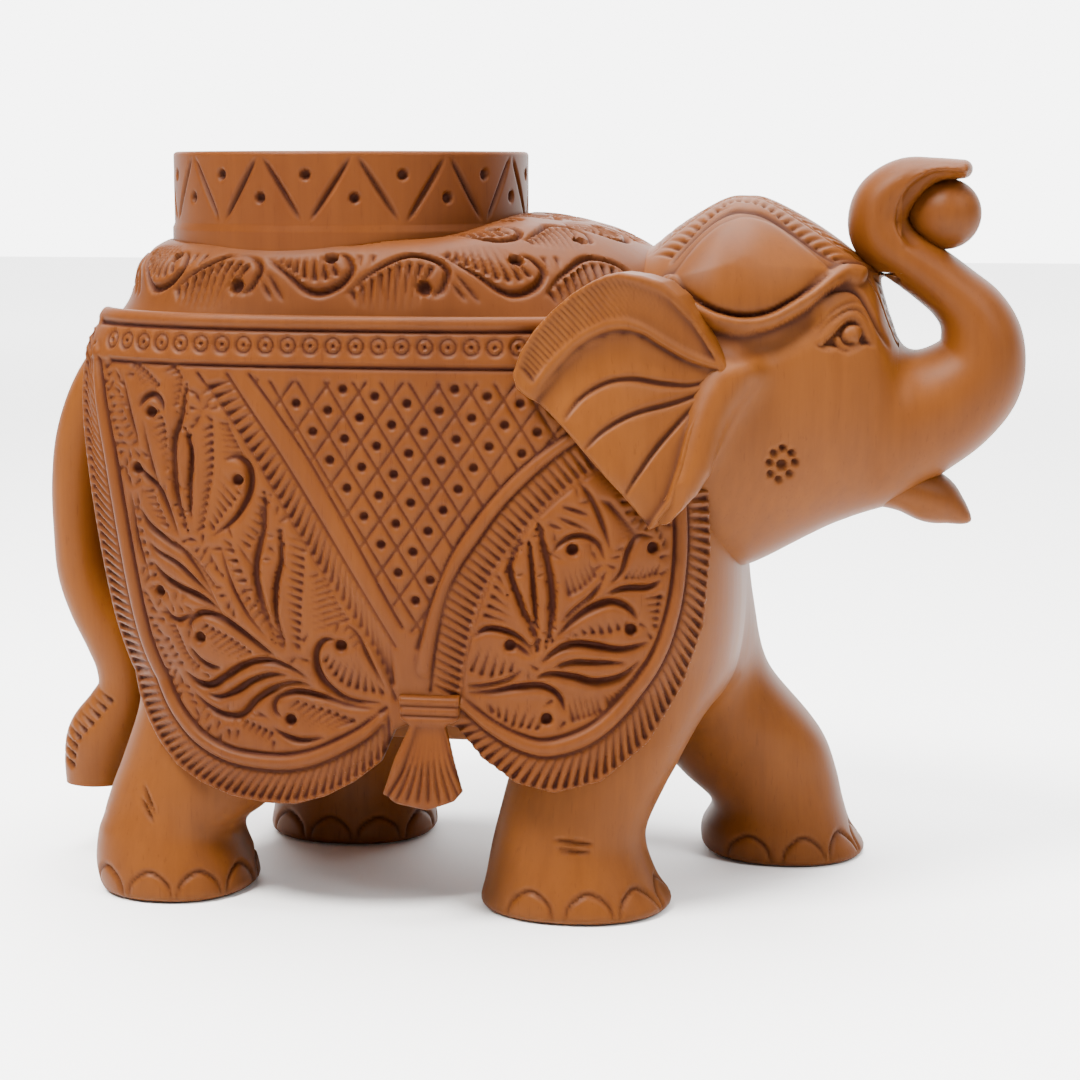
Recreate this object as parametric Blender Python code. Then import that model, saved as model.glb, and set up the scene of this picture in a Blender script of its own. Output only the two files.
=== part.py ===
"""Carved wooden elephant that stands with its trunk raised and holds a pen cup in its back.

Model frame: metres, +Z up, the head towards +X, the elephant's right side towards -Y.
The origin is on the floor, under the middle of the figure's bounding box.

The figure is a glue-up of carved members. Each member is a closed solid, and neighbours keep
the width of a glue line between them. Lengths below are in millimetres and are scaled by MM.
"""

import math

import bmesh
import bpy
from mathutils import Vector

MM = 0.001

# ---- driving dimensions, in millimetres ----
GLUE_LINE = 0.3
CLOTH_THICKNESS = 2.0
CLOTH_TOP = 90.0
CLOTH_HANG_Z = 34.0
CLOTH_REAR, CLOTH_FRONT = math.radians(139.0), math.radians(33.0)

COLLAR_CENTRE_X = -27.3
COLLAR_RADIUS = 28.2
COLLAR_FLARE = 0.4
COLLAR_TOP = 112.0
COLLAR_EDGE = 0.6
DECK_Z = 100.0
COLLAR_SINK = 0.6
DECK_HALF_WIDTH = 27.0
DECK_ROUNDNESS = 2.2
WITHERS_RISE = 3.5
WITHERS_X = (-12.0, 2.0)
NECK_FALL = 4.6
NECK_X = (2.0, 26.0)
RECESS_DEPTH = 1.5
CUP_RADIUS = 22.0
CUP_FLOOR = 34.0
RECESS_RADIUS = COLLAR_RADIUS + COLLAR_FLARE + GLUE_LINE

BELLY_Z = 25.0
BELLY_INSET = 2.5
LEG_LEAN_TOP = 25.0
STRIDE = 13.0
STRIDE_FADE_TOP = 50.0

BALL_CENTRE = (63.9, 0.0, 103.0)
BALL_RADIUS = 4.9

TORSO_SEGMENTS = 56
# Heights of the wall's rings, then the height and inset of the two rings at its rounded top edge.
WALL_HEIGHTS = (28.0, 33.0, 39.0, 46.0, 54.0, 62.0, 70.0, 78.0, 84.0, 88.0, 91.5, 94.5)
SHOULDER_STEPS = ((97.0, 0.0), (98.8, 1.2))
HEAD_SEGMENTS = 28
LIMB_SEGMENTS = 20
TAIL_SEGMENTS = 16
LIP_SEGMENTS = 12
BALL_SEGMENTS, BALL_RINGS = 20, 12
HEAD_ROUNDNESS = 2.3
LEG_ROUNDNESS = 2.2

# Torso sections: height, rump x, chest x, half width, roundness exponent of the plan.
TORSO_SECTIONS = [
    (25.0, -56.0, 32.0, 27.5, 2.6),
    (35.0, -60.0, 35.5, 31.0, 2.8),
    (46.0, -62.5, 36.5, 32.3, 3.0),
    (60.0, -64.5, 34.5, 32.6, 3.0),
    (75.0, -65.0, 31.0, 32.4, 3.0),
    (84.0, -63.5, 28.5, 31.6, 2.9),
    (90.0, -60.8, 26.0, 30.6, 2.7),
    (95.0, -58.6, 23.5, 29.9, 2.5),
    (99.0, -57.4, 20.0, 29.4, 2.3),
]

# Head sections: x, jaw z, crown z, half width.
HEAD_SECTIONS = [
    (20.0, 56.0, 97.5, 23.0),
    (25.0, 52.5, 101.0, 24.5),
    (31.0, 51.0, 104.0, 24.0),
    (38.0, 52.5, 104.6, 21.5),
    (45.0, 56.5, 101.8, 18.5),
    (51.0, 59.5, 97.5, 15.5),
    (55.5, 60.0, 92.0, 12.8),
    (58.5, 60.2, 83.0, 10.8),
]

# Trunk sections: centre x, centre z, half depth in the XZ plane, half width in Y.
TRUNK_SECTIONS = [
    (58.9, 71.4, 11.2, 10.4),
    (64.3, 72.6, 9.7, 9.6),
    (68.3, 77.0, 8.2, 8.6),
    (69.8, 82.8, 6.3, 7.8),
    (68.4, 87.6, 4.9, 7.2),
    (65.2, 91.3, 4.1, 6.8),
    (61.2, 94.6, 3.8, 6.5),
    (57.0, 97.2, 3.5, 6.4),
    (54.7, 101.0, 3.9, 6.3),
    (54.9, 105.3, 3.4, 6.2),
    (57.4, 108.5, 2.3, 5.9),
    (61.4, 109.8, 1.4, 5.4),
    (65.4, 109.9, 1.3, 4.8),
    (67.6, 109.6, 1.0, 4.0),
]

# Lower lip sections, as for the trunk.
LIP_SECTIONS = [
    (52.0, 61.5, 2.0, 6.5),
    (57.0, 60.4, 2.6, 6.0),
    (62.0, 59.0, 3.0, 4.6),
    (66.0, 57.6, 2.2, 3.0),
    (68.6, 56.8, 0.8, 1.2),
]

# Leg stations: height, then x offset from the foot, half length in x, half width in y.
LEG_STATIONS = [
    (0.0, 0.0, 13.2, 12.2),
    (1.0, 0.0, 13.7, 12.7),
    (4.0, 0.0, 13.3, 12.3),
    (9.0, -0.8, 11.8, 11.2),
    (14.0, -0.8, 11.9, 11.0),
    (19.0, 0.0, 12.8, 11.3),
    (24.0, 1.0, 14.0, 11.4),
    (30.0, 1.5, 13.4, 7.8),
    (35.0, 2.0, 11.2, 5.4),
    (38.0, 2.0, 8.2, 3.8),
]
LEG_TUCK = 0.2
# Feet: name, x and y of the foot's centre, x shift of the leg's top.
LEGS = [
    ("leg_front_right", 12.0, -17.3, 3.0),
    ("leg_front_left", 39.8, 18.2, -10.5),
    ("leg_hind_right", -52.0, -17.3, 5.0),
    ("leg_hind_left", -32.8, 18.2, -3.0),
]

# Tail sections: centre x, centre z, half depth, half width. The last four are the tuft.
TAIL_SECTIONS = [
    (-64.6, 84.0, 1.6, 2.6),
    (-68.0, 77.5, 3.0, 4.2),
    (-71.0, 69.0, 3.6, 5.0),
    (-72.2, 60.0, 3.8, 5.2),
    (-71.9, 50.0, 3.8, 5.0),
    (-70.3, 40.0, 3.7, 4.6),
    (-67.8, 31.0, 3.3, 4.2),
    (-67.2, 25.0, 2.9, 4.0),
    (-69.0, 20.5, 3.9, 4.8),
    (-71.0, 16.0, 3.9, 5.0),
    (-72.2, 12.8, 3.0, 4.2),
    (-72.8, 11.3, 1.6, 3.0),
]

# The hem of the saddle cloth on one side: z of the lower edge for each x, with x read at HEM_READ_Z.
HEM = [
    (-61.8, 79.0),
    (-60.6, 66.0),
    (-58.0, 52.0),
    (-53.8, 38.0),
    (-48.0, 26.0),
    (-41.0, 19.4),
    (-33.0, 17.2),
    (-25.0, 17.8),
    (-18.0, 21.4),
    (-13.0, 27.0),
    (-4.0, 27.0),
    (1.0, 23.6),
    (8.0, 20.6),
    (17.0, 21.6),
    (24.0, 27.0),
    (29.5, 35.4),
    (32.2, 46.0),
    (31.0, 60.0),
    (28.0, 72.0),
]
HEM_READ_Z = 60.0
CLOTH_COLUMNS = 44
CLOTH_ROWS = 8

# The tassel: x of its middle, then height, half width and thickness down its length.
TASSEL_X = -7.6
TASSEL_GAP = 0.9
TASSEL_FACE_SHARE = 0.6
TASSEL_STATIONS = [(33.6, 4.4, 1.6), (30.5, 3.8, 2.2), (24.0, 5.6, 2.8), (19.4, 6.8, 2.4), (17.9, 4.8, 1.6)]

# The ear's outline seen from the side, x and z, anticlockwise from the front fold.
EAR_OUTLINE = [
    (34.5, 82.0),
    (32.0, 86.5),
    (28.0, 91.2),
    (23.5, 94.6),
    (18.5, 95.0),
    (13.5, 92.6),
    (9.0, 88.6),
    (6.2, 84.0),
    (5.4, 79.6),
    (10.5, 73.6),
    (16.0, 67.2),
    (23.5, 59.0),
    (27.2, 62.8),
    (29.8, 70.0),
    (32.0, 76.5),
]
EAR_FRONT_X, EAR_FRONT_Y = 34.5, 29.0
EAR_REAR_X, EAR_REAR_Y = 5.4, 37.4
EAR_ROOT_DEPTH = 12.0

WOOD = (0.55, 0.26, 0.10, 1.0)
COLLAR_WOOD = (0.46, 0.20, 0.075, 1.0)


# ---- helpers ----
def clear_scene():
    for obj in list(bpy.data.objects):
        bpy.data.objects.remove(obj, do_unlink=True)


def make_material(name, colour, roughness):
    material = bpy.data.materials.new(name)
    material.use_nodes = True
    shader = material.node_tree.nodes["Principled BSDF"]
    shader.inputs["Base Color"].default_value = colour
    shader.inputs["Roughness"].default_value = roughness
    shader.inputs["Metallic"].default_value = 0.0
    return material


def smoothstep(low, high, value):
    t = min(1.0, max(0.0, (value - low) / (high - low)))
    return t * t * (3.0 - 2.0 * t)


def between(rows, key):
    """The rows' values at this key, by a cubic that keeps the slopes of the rows on both sides."""
    keys = [row[0] for row in rows]
    if key <= keys[0]:
        return rows[0]
    if key >= keys[-1]:
        return rows[-1]
    i = max(k for k in range(len(keys) - 1) if keys[k] <= key)
    span = keys[i + 1] - keys[i]
    t = (key - keys[i]) / span
    before = rows[max(0, i - 1)]
    after = rows[min(len(rows) - 1, i + 2)]
    found = [key]
    for a, b, c, d in zip(before[1:], rows[i][1:], rows[i + 1][1:], after[1:]):
        start = (c - a) / (keys[i + 1] - before[0]) * span
        end = (d - b) / (after[0] - keys[i]) * span
        found.append(
            (2 * t**3 - 3 * t**2 + 1) * b
            + (t**3 - 2 * t**2 + t) * start
            + (3 * t**2 - 2 * t**3) * c
            + (t**3 - t**2) * end
        )
    return found


def mesh_object(name, points, faces, material):
    """An object from points in millimetres."""
    mesh = bpy.data.meshes.new(name)
    mesh.from_pydata([Vector(p) * MM for p in points], [], faces)
    made = bmesh.new()
    made.from_mesh(mesh)
    bmesh.ops.recalc_face_normals(made, faces=made.faces)
    if made.calc_volume(signed=True) < 0.0:
        bmesh.ops.reverse_faces(made, faces=made.faces)
    made.to_mesh(mesh)
    made.free()
    mesh.shade_smooth()
    mesh.set_sharp_from_angle(angle=math.radians(40))
    obj = bpy.data.objects.new(name, mesh)
    bpy.context.scene.collection.objects.link(obj)
    mesh.materials.append(material)
    return obj


def loft(name, rings, material):
    """A closed solid through rings of equal count, with a flat face over the first and the last."""
    count = len(rings[0])
    points = [p for ring in rings for p in ring]
    faces = [tuple(range(count))[::-1]]
    for i in range(len(rings) - 1):
        for k in range(count):
            k2 = (k + 1) % count
            a, b = i * count, (i + 1) * count
            faces.append((a + k, a + k2, b + k2, b + k))
    last = (len(rings) - 1) * count
    faces.append(tuple(last + k for k in range(count)))
    return mesh_object(name, points, faces, material)


def power(value, exponent):
    return math.copysign(abs(value) ** exponent, value)


def cut(obj, cutter):
    """Takes the cutter's shape out of obj by a Boolean, and hides the cutter."""
    modifier = obj.modifiers.new("cut", "BOOLEAN")
    modifier.operation = "DIFFERENCE"
    modifier.solver = "EXACT"
    modifier.object = cutter
    cutter.hide_render = True
    cutter.display_type = "WIRE"


# ---- torso ----
def torso_point(angle, height, grow=0.0):
    """A point on the torso's wall. Angle 0 is the chest and pi is the rump; grow moves it outwards."""
    _, rump, chest, half, roundness = between(TORSO_SECTIONS, height)
    middle, reach = (rump + chest) / 2, (chest - rump) / 2
    x = middle + (reach + grow) * power(math.cos(angle), 2 / roundness)
    y = (half + grow) * power(math.sin(angle), 2 / roundness)
    fade = 1.0 - smoothstep(BELLY_Z, STRIDE_FADE_TOP, height)
    x += STRIDE * max(0.0, y) / half * fade
    return (x, y, height)


def deck_height(x, y):
    """The back's height round the collar: it rises to the withers and falls to the neck and sides."""
    across = 1.0 - min(1.0, abs(y) / DECK_HALF_WIDTH) ** DECK_ROUNDNESS
    withers = WITHERS_RISE * smoothstep(*WITHERS_X, x) * across
    neck = NECK_FALL * smoothstep(*NECK_X, x)
    return DECK_Z - COLLAR_SINK + withers - neck


def torso_rings(grow=0.0):
    angles = [2 * math.pi * k / TORSO_SEGMENTS for k in range(TORSO_SEGMENTS)]
    rings = [[torso_point(a, BELLY_Z, grow - BELLY_INSET) for a in angles]]
    rings[0] = [(x, y, BELLY_Z - grow) for x, y, _ in rings[0]]
    for height in WALL_HEIGHTS:
        rings.append([torso_point(a, height, grow) for a in angles])
    for height, step in SHOULDER_STEPS:
        ring = []
        for a in angles:
            x, y, _ = torso_point(a, height, grow - step)
            ring.append((x, y, min(height, deck_height(x, y)) + grow))
        rings.append(ring)
    return rings


def circle(radius, height=None):
    """A ring round the collar's axis, level at this height or lying on the deck."""
    found = []
    for k in range(TORSO_SEGMENTS):
        a = 2 * math.pi * k / TORSO_SEGMENTS
        x = COLLAR_CENTRE_X + radius * math.cos(a)
        y = radius * math.sin(a)
        found.append((x, y, deck_height(x, y) if height is None else height))
    return found


def part_way(ring_a, ring_b, share):
    """A ring on the deck, part of the way from one ring to another."""
    found = []
    for (xa, ya, _), (xb, yb, _) in zip(ring_a, ring_b):
        x = xa + (xb - xa) * share
        y = ya + (yb - ya) * share
        found.append((x, y, deck_height(x, y)))
    return found


def make_torso(material):
    """The barrel of the body, with the collar's recess and the pen cup in its back."""
    rings = torso_rings()
    edge, recess = rings[-1], circle(RECESS_RADIUS)
    for share in (0.3, 0.65):
        rings.append(part_way(edge, recess, share))
    rings.append(recess)
    rings.append(circle(RECESS_RADIUS, DECK_Z - RECESS_DEPTH))
    rings.append(circle(CUP_RADIUS, DECK_Z - RECESS_DEPTH))
    rings.append(circle(CUP_RADIUS, (DECK_Z + CUP_FLOOR) / 2))
    rings.append(circle(CUP_RADIUS, CUP_FLOOR))
    return loft("torso", rings, material)


def make_torso_cutter(grow, material, name):
    """The torso's outer shape, a little larger, to make room for it in the pieces that meet it."""
    rings = torso_rings(grow)
    crown = part_way(rings[-1], circle(1.0), 0.45)
    rings.append([(x, y, z + grow) for x, y, z in crown])
    cutter = loft(name, rings, material)
    cutter.hide_render = True
    cutter.display_type = "WIRE"
    return cutter


# ---- collar ----
def make_collar(material):
    """The turned rim of the pen cup, a little wider at its foot."""
    foot, top = DECK_Z - RECESS_DEPTH + GLUE_LINE, COLLAR_TOP
    profile = [
        (CUP_RADIUS, foot),
        (COLLAR_RADIUS + COLLAR_FLARE, foot),
        (COLLAR_RADIUS + COLLAR_FLARE, DECK_Z + 1.0),
        (COLLAR_RADIUS, DECK_Z + 2.0),
        (COLLAR_RADIUS, top - COLLAR_EDGE),
        (COLLAR_RADIUS - COLLAR_EDGE, top),
        (CUP_RADIUS + COLLAR_EDGE, top),
        (CUP_RADIUS, top - COLLAR_EDGE),
    ]
    count = TORSO_SEGMENTS
    points, faces = [], []
    for k in range(count):
        a = 2 * math.pi * k / count
        for radius, height in profile:
            points.append((COLLAR_CENTRE_X + radius * math.cos(a), radius * math.sin(a), height))
    n = len(profile)
    for k in range(count):
        k2 = (k + 1) % count
        for j in range(n):
            j2 = (j + 1) % n
            faces.append((k * n + j, k2 * n + j, k2 * n + j2, k * n + j2))
    return mesh_object("collar", points, faces, material)


# ---- saddle cloth ----
def hem_height(x):
    """The height of the cloth's lower edge at x."""
    for (xa, za), (xb, zb) in zip(HEM, HEM[1:]):
        if x <= xb:
            t = max(0.0, (x - xa) / (xb - xa))
            return za + t * (zb - za)
    return HEM[-1][1]


def make_cloth(name, side, material):
    """One side of the saddle cloth: a shell that lies on the barrel and hangs straight at its foot."""
    outer, inner = [], []
    for c in range(CLOTH_COLUMNS + 1):
        angle = side * (CLOTH_REAR + (CLOTH_FRONT - CLOTH_REAR) * c / CLOTH_COLUMNS)
        bottom = hem_height(torso_point(angle, HEM_READ_Z)[0])
        for r in range(CLOTH_ROWS + 1):
            height = CLOTH_TOP + (bottom - CLOTH_TOP) * r / CLOTH_ROWS
            wall = max(height, CLOTH_HANG_Z)
            x, y, _ = torso_point(angle, wall, GLUE_LINE)
            inner.append((x, y, height))
            x, y, _ = torso_point(angle, wall, GLUE_LINE + CLOTH_THICKNESS)
            outer.append((x, y, height))
    rows = CLOTH_ROWS + 1
    back = len(outer)
    faces = []
    for c in range(CLOTH_COLUMNS):
        for r in range(CLOTH_ROWS):
            a, b = c * rows + r, (c + 1) * rows + r
            faces.append((a, a + 1, b + 1, b))
            faces.append((back + b, back + b + 1, back + a + 1, back + a))
        for r in (0, CLOTH_ROWS):
            a, b = c * rows + r, (c + 1) * rows + r
            faces.append((a, b, back + b, back + a))
    for c in (0, CLOTH_COLUMNS):
        for r in range(CLOTH_ROWS):
            a = c * rows + r
            faces.append((a, back + a, back + a + 1, a + 1))
    return mesh_object(name, outer + inner, faces, material)


def make_tassel(name, side, material):
    """The fan that hangs in the notch between the two lobes of the hem."""
    offset = CLOTH_THICKNESS + TASSEL_GAP
    rings = []
    for height, half, thickness in TASSEL_STATIONS:
        _, y, _ = torso_point(math.pi / 2, max(height, CLOTH_HANG_Z), offset)
        flat = half * TASSEL_FACE_SHARE
        corners = [(-half, 0.0), (-flat, thickness), (flat, thickness), (half, 0.0)]
        rings.append([(TASSEL_X + x, side * (y + depth), height) for x, depth in corners])
    return loft(name, rings, material)


# ---- head, trunk and ears ----
def head_rings(grow=0.0):
    rings = []
    for x, jaw, crown, half in HEAD_SECTIONS:
        middle, reach = (jaw + crown) / 2, (crown - jaw) / 2
        ring = []
        for k in range(HEAD_SEGMENTS):
            a = 2 * math.pi * k / HEAD_SEGMENTS
            y = (half + grow) * power(math.cos(a), 2 / HEAD_ROUNDNESS)
            z = middle + (reach + grow) * power(math.sin(a), 2 / HEAD_ROUNDNESS)
            ring.append((x, y, z))
        rings.append(ring)
    return rings


def smoothed(sections):
    """The sections with one more between each two, on a curve through their neighbours."""
    found = []
    last = len(sections) - 1
    for i, section in enumerate(sections[:-1]):
        before, after = sections[max(0, i - 1)], sections[min(last, i + 2)]
        found.append(section)
        found.append(tuple(
            (9.0 * (b + c) - a - d) / 16.0
            for a, b, c, d in zip(before, section, sections[i + 1], after)
        ))
    found.append(sections[-1])
    return found


def swept_rings(sections, segments, grow=0.0):
    """Rings across a path in the XZ plane, each at right angles to the path."""
    rings = []
    sections = smoothed(sections)
    last = len(sections) - 1
    for i, (x, z, depth, width) in enumerate(sections):
        xa, za = sections[max(0, i - 1)][:2]
        xb, zb = sections[min(last, i + 1)][:2]
        along = Vector((xb - xa, 0.0, zb - za)).normalized()
        across = Vector((-along.z, 0.0, along.x))
        ring = []
        for k in range(segments):
            a = 2 * math.pi * k / segments
            p = Vector((x, 0.0, z)) + across * (depth + grow) * math.cos(a)
            p.y += (width + grow) * math.sin(a)
            ring.append(tuple(p))
        rings.append(ring)
    return rings


def make_ear(name, side, material):
    """A flat fan that flares from the cheek; its rear edge stands off the cloth."""
    slope = (EAR_REAR_Y - EAR_FRONT_Y) / (EAR_REAR_X - EAR_FRONT_X)
    count = len(EAR_OUTLINE)
    points = []
    for depth in (0.0, EAR_ROOT_DEPTH):
        for x, z in EAR_OUTLINE:
            y = EAR_FRONT_Y + slope * (x - EAR_FRONT_X) - depth
            points.append((x, side * y, z))
    faces = [tuple(range(count)), tuple(range(2 * count - 1, count - 1, -1))]
    for k in range(count):
        k2 = (k + 1) % count
        faces.append((k, k + count, k2 + count, k2))
    return mesh_object(name, points, faces, material)


def make_lip(material):
    """The pointed lower lip of the open mouth."""
    return loft("lower_lip", swept_rings(LIP_SECTIONS, LIP_SEGMENTS), material)


def make_ball(material):
    sphere = bmesh.new()
    bmesh.ops.create_uvsphere(sphere, u_segments=BALL_SEGMENTS, v_segments=BALL_RINGS, radius=BALL_RADIUS * MM)
    mesh = bpy.data.meshes.new("trunk_ball")
    sphere.to_mesh(mesh)
    sphere.free()
    mesh.shade_smooth()
    obj = bpy.data.objects.new("trunk_ball", mesh)
    obj.location = Vector(BALL_CENTRE) * MM
    bpy.context.scene.collection.objects.link(obj)
    mesh.materials.append(material)
    return obj


# ---- legs and tail ----
def make_leg(name, foot_x, foot_y, lean, material):
    rings = []
    for height, shift, length, width in LEG_STATIONS:
        share = smoothstep(2.0, LEG_LEAN_TOP, height)
        ring = []
        for k in range(LIMB_SEGMENTS):
            a = 2 * math.pi * k / LIMB_SEGMENTS
            x = foot_x + shift + lean * share + length * power(math.cos(a), 2 / LEG_ROUNDNESS)
            y = foot_y * (1.0 - LEG_TUCK * share) + width * power(math.sin(a), 2 / LEG_ROUNDNESS)
            ring.append((x, y, height))
        rings.append(ring)
    return loft(name, rings, material)


def build():
    clear_scene()
    wood = make_material("carved_wood", WOOD, 0.5)
    rim_wood = make_material("collar_wood", COLLAR_WOOD, 0.45)

    make_torso(wood)
    make_collar(rim_wood)
    for name, side in (("tassel_right", -1), ("tassel_left", 1)):
        make_tassel(name, side, wood)

    torso_cutter = make_torso_cutter(GLUE_LINE, wood, "torso_cutter")
    cloth_cutter = make_torso_cutter(CLOTH_THICKNESS + 2 * GLUE_LINE, wood, "cloth_cutter")
    head_cutter = loft("head_cutter", head_rings(GLUE_LINE), wood)
    trunk_cutter = loft("trunk_cutter", swept_rings(TRUNK_SECTIONS, LIMB_SEGMENTS, GLUE_LINE), wood)

    for name, side in (("saddle_cloth_right", -1), ("saddle_cloth_left", 1)):
        cut(make_cloth(name, side, wood), head_cutter)
    head = loft("head", head_rings(), wood)
    cut(head, torso_cutter)
    cut(head, trunk_cutter)
    loft("trunk", swept_rings(TRUNK_SECTIONS, LIMB_SEGMENTS), wood)
    make_ball(wood)
    for name, side in (("ear_right", -1), ("ear_left", 1)):
        ear = make_ear(name, side, wood)
        cut(ear, cloth_cutter)
        cut(ear, head_cutter)
    lip = make_lip(wood)
    cut(lip, head_cutter)
    cut(lip, trunk_cutter)

    for name, foot_x, foot_y, lean in LEGS:
        cut(make_leg(name, foot_x, foot_y, lean, wood), torso_cutter)

    tail = loft("tail", swept_rings(TAIL_SECTIONS, TAIL_SEGMENTS), wood)
    cut(tail, torso_cutter)


build()
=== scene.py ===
import math

import bmesh
import bpy
import numpy as np
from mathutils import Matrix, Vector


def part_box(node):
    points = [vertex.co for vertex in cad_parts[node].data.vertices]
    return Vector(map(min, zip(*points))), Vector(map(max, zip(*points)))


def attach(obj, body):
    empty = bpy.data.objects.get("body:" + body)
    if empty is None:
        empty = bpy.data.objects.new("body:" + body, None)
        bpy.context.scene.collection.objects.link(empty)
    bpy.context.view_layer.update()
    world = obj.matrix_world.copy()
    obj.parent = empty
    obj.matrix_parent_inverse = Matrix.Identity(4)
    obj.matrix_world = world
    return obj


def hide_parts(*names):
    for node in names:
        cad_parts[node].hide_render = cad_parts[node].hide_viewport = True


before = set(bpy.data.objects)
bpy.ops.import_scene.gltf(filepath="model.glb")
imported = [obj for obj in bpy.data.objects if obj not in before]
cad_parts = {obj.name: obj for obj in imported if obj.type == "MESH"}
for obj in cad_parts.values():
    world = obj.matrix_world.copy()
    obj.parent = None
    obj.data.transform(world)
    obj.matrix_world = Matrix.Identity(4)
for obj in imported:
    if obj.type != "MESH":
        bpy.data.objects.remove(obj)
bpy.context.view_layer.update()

import openvdb
from mathutils import Vector

# All lengths in this script are millimetres until a mesh is made.
MM = 0.001

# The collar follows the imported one, set a little further forwards and a little narrower.
COLLAR_LOW, COLLAR_HIGH = (1000 * np.array(c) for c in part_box("collar"))
COLLAR_FORWARDS, COLLAR_NARROWER = 0.7, 1.4
COLLAR_X = float(COLLAR_LOW[0] + COLLAR_HIGH[0]) / 2 + COLLAR_FORWARDS
COLLAR_TOP = float(COLLAR_HIGH[2])
COLLAR_R = float(COLLAR_HIGH[0] - COLLAR_LOW[0]) / 2 - COLLAR_NARROWER
CUP_R = 22
CUP_FLOOR = 34
DECK_Z = 100
BELLY_Z = 25
# The height at which the shoulders' outline is unrolled, and the height where the torso's pieces meet.
SHOULDER_Z = 94
TORSO_CUT_Z = 88
CLOTH_OUT = 2.3
# Below this height the cloth hangs straight down.
CLOTH_HANG_Z = 34
# How far the left legs are ahead of the right ones at the belly, and where the shift has faded out.
STRIDE = 13
STRIDE_FADE_TOP = 50
# The place along the barrel that keeps its x when the side is unrolled.
MIDDLE_U = -15

# Barrel sections: height, rump x, chest x, half width, roundness exponent of the plan.
TORSO_SECTIONS = [
    (20, -54, 28, 26, 2.5), (25, -56, 30.5, 27.5, 2.6), (35, -60.2, 34, 31, 2.8), (46, -62.8, 35, 32.3, 3),
    (60, -64.8, 34, 32.6, 3.1), (75, -65.4, 31, 32.4, 3.1), (84, -63.6, 28.5, 31.6, 3),
    (90, -60, 26, 30.6, 2.7), (95, -59, 23.5, 29.7, 2.5), (99, -56.4, 20, 28.6, 2.3),
    (104, -53, 16, 27.6, 2.2),
]
# Head sections: x, jaw z, crown z, half width.
HEAD_SECTIONS = [
    (12, 60, 92, 20), (20, 54, 97.6, 23), (25, 50.5, 101.5, 24.5), (31, 49.2, 105, 24),
    (34.5, 49.6, 105.5, 22.9), (38, 51, 104.9, 21.5), (45, 54.8, 101.2, 18.5), (51, 57.8, 96.8, 15.5),
    (54, 59.2, 93.2, 13.6), (56, 60, 87.8, 12.4), (58.5, 60.6, 82.5, 10.8), (64, 61.5, 76, 8),
]
# Trunk sections: centre x, centre z, half depth in the XZ plane, half width in Y.
TRUNK_SECTIONS = [
    (49, 69.5, 10.5, 10.5), (54.5, 70.8, 10.8, 10.6), (60.7, 73.2, 9.4, 10), (64.6, 75.2, 8.5, 9.4),
    (67.9, 78, 7.6, 8.8), (69.4, 80.9, 6.7, 8.4), (69.5, 84.5, 6, 8), (68.2, 88, 5.1, 7.6),
    (65.6, 90.9, 4.4, 7.2), (62, 93.8, 4.2, 6.9), (57.8, 96.7, 4.1, 6.8), (54.9, 99.1, 4.6, 6.8),
    (53.9, 101.9, 4.5, 6.7), (54.9, 105, 4.3, 6.5), (57.9, 107.7, 3.4, 6.2), (62, 109.2, 1.9, 5.6),
    (66.2, 109.4, 1.4, 4.8),
]
BALL_CENTRE = (63.8, 0, 102.85)
BALL_R = 5.25
# Each leg by height: back x, front x, y of the middle, half width in y.
LEGS = {
    "leg_front_right": [
        (-2, -2.8, 25.3, -17.3, 12.2), (0, -2.8, 25.5, -17.3, 12.4), (1.2, -2.9, 25.7, -17.3, 12.7),
        (4, -2.2, 23.7, -17.3, 12.2), (8.7, -1.4, 21.9, -16.9, 11.2), (12.4, -0.6, 22.1, -16.4, 11),
        (18.3, 0.8, 24.7, -15.4, 11.2), (22, 1.8, 26.6, -14.6, 11.5), (27, 3, 28.5, -14, 11.2),
        (34, 5, 29.5, -13.5, 9), (42, 7, 28, -13, 7),
    ],
    "leg_front_left": [
        (-2, 27.8, 53, 18.2, 12.2), (0, 27.5, 53.2, 18.2, 12.4), (1.4, 26.7, 52.7, 18.2, 12.7),
        (4.2, 26.7, 50.8, 18, 12.2), (8.3, 28.2, 49.5, 17.8, 11.2), (12.8, 23.5, 48.5, 17.3, 11),
        (18.1, 19, 46.8, 16.4, 11.2), (22.4, 17, 44.1, 15.6, 11.4), (28, 15, 39.3, 14.8, 11.2),
        (34, 12, 34.6, 14.2, 10), (42, 8, 30.5, 13.6, 8),
    ],
    "leg_hind_right": [
        (-2, -62, -39.6, -17.3, 12), (0, -62.4, -39.2, -17.3, 12.2), (1.2, -63, -38.8, -17.3, 12.5),
        (4.3, -63.6, -39.5, -17.3, 12.1), (8.5, -63.3, -41, -17, 11.2), (10.8, -62.6, -39.9, -16.6, 11),
        (12.7, -62.2, -37.4, -16.2, 11), (16, -61.2, -34.2, -15.6, 11.2), (20, -59.8, -31.8, -14.8, 11.4),
        (27, -57.6, -29, -14, 11.2), (34, -56.5, -29, -13.5, 9), (42, -54, -31, -13, 7),
    ],
    "leg_hind_left": [
        (-2, -45.4, -18.8, 18.2, 12.2), (0, -45.6, -18.4, 18.2, 12.4), (1.2, -45.9, -18.2, 18.2, 12.7),
        (4, -45.4, -18.6, 18, 12.2), (9, -44.2, -20.2, 17.8, 11.2), (14, -44, -20, 17.2, 11),
        (20, -45.2, -18.4, 16, 11.3), (27, -47, -18, 15, 11.2), (34, -47, -19, 14, 9),
        (42, -45, -22, 13, 7),
    ],
}
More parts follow.
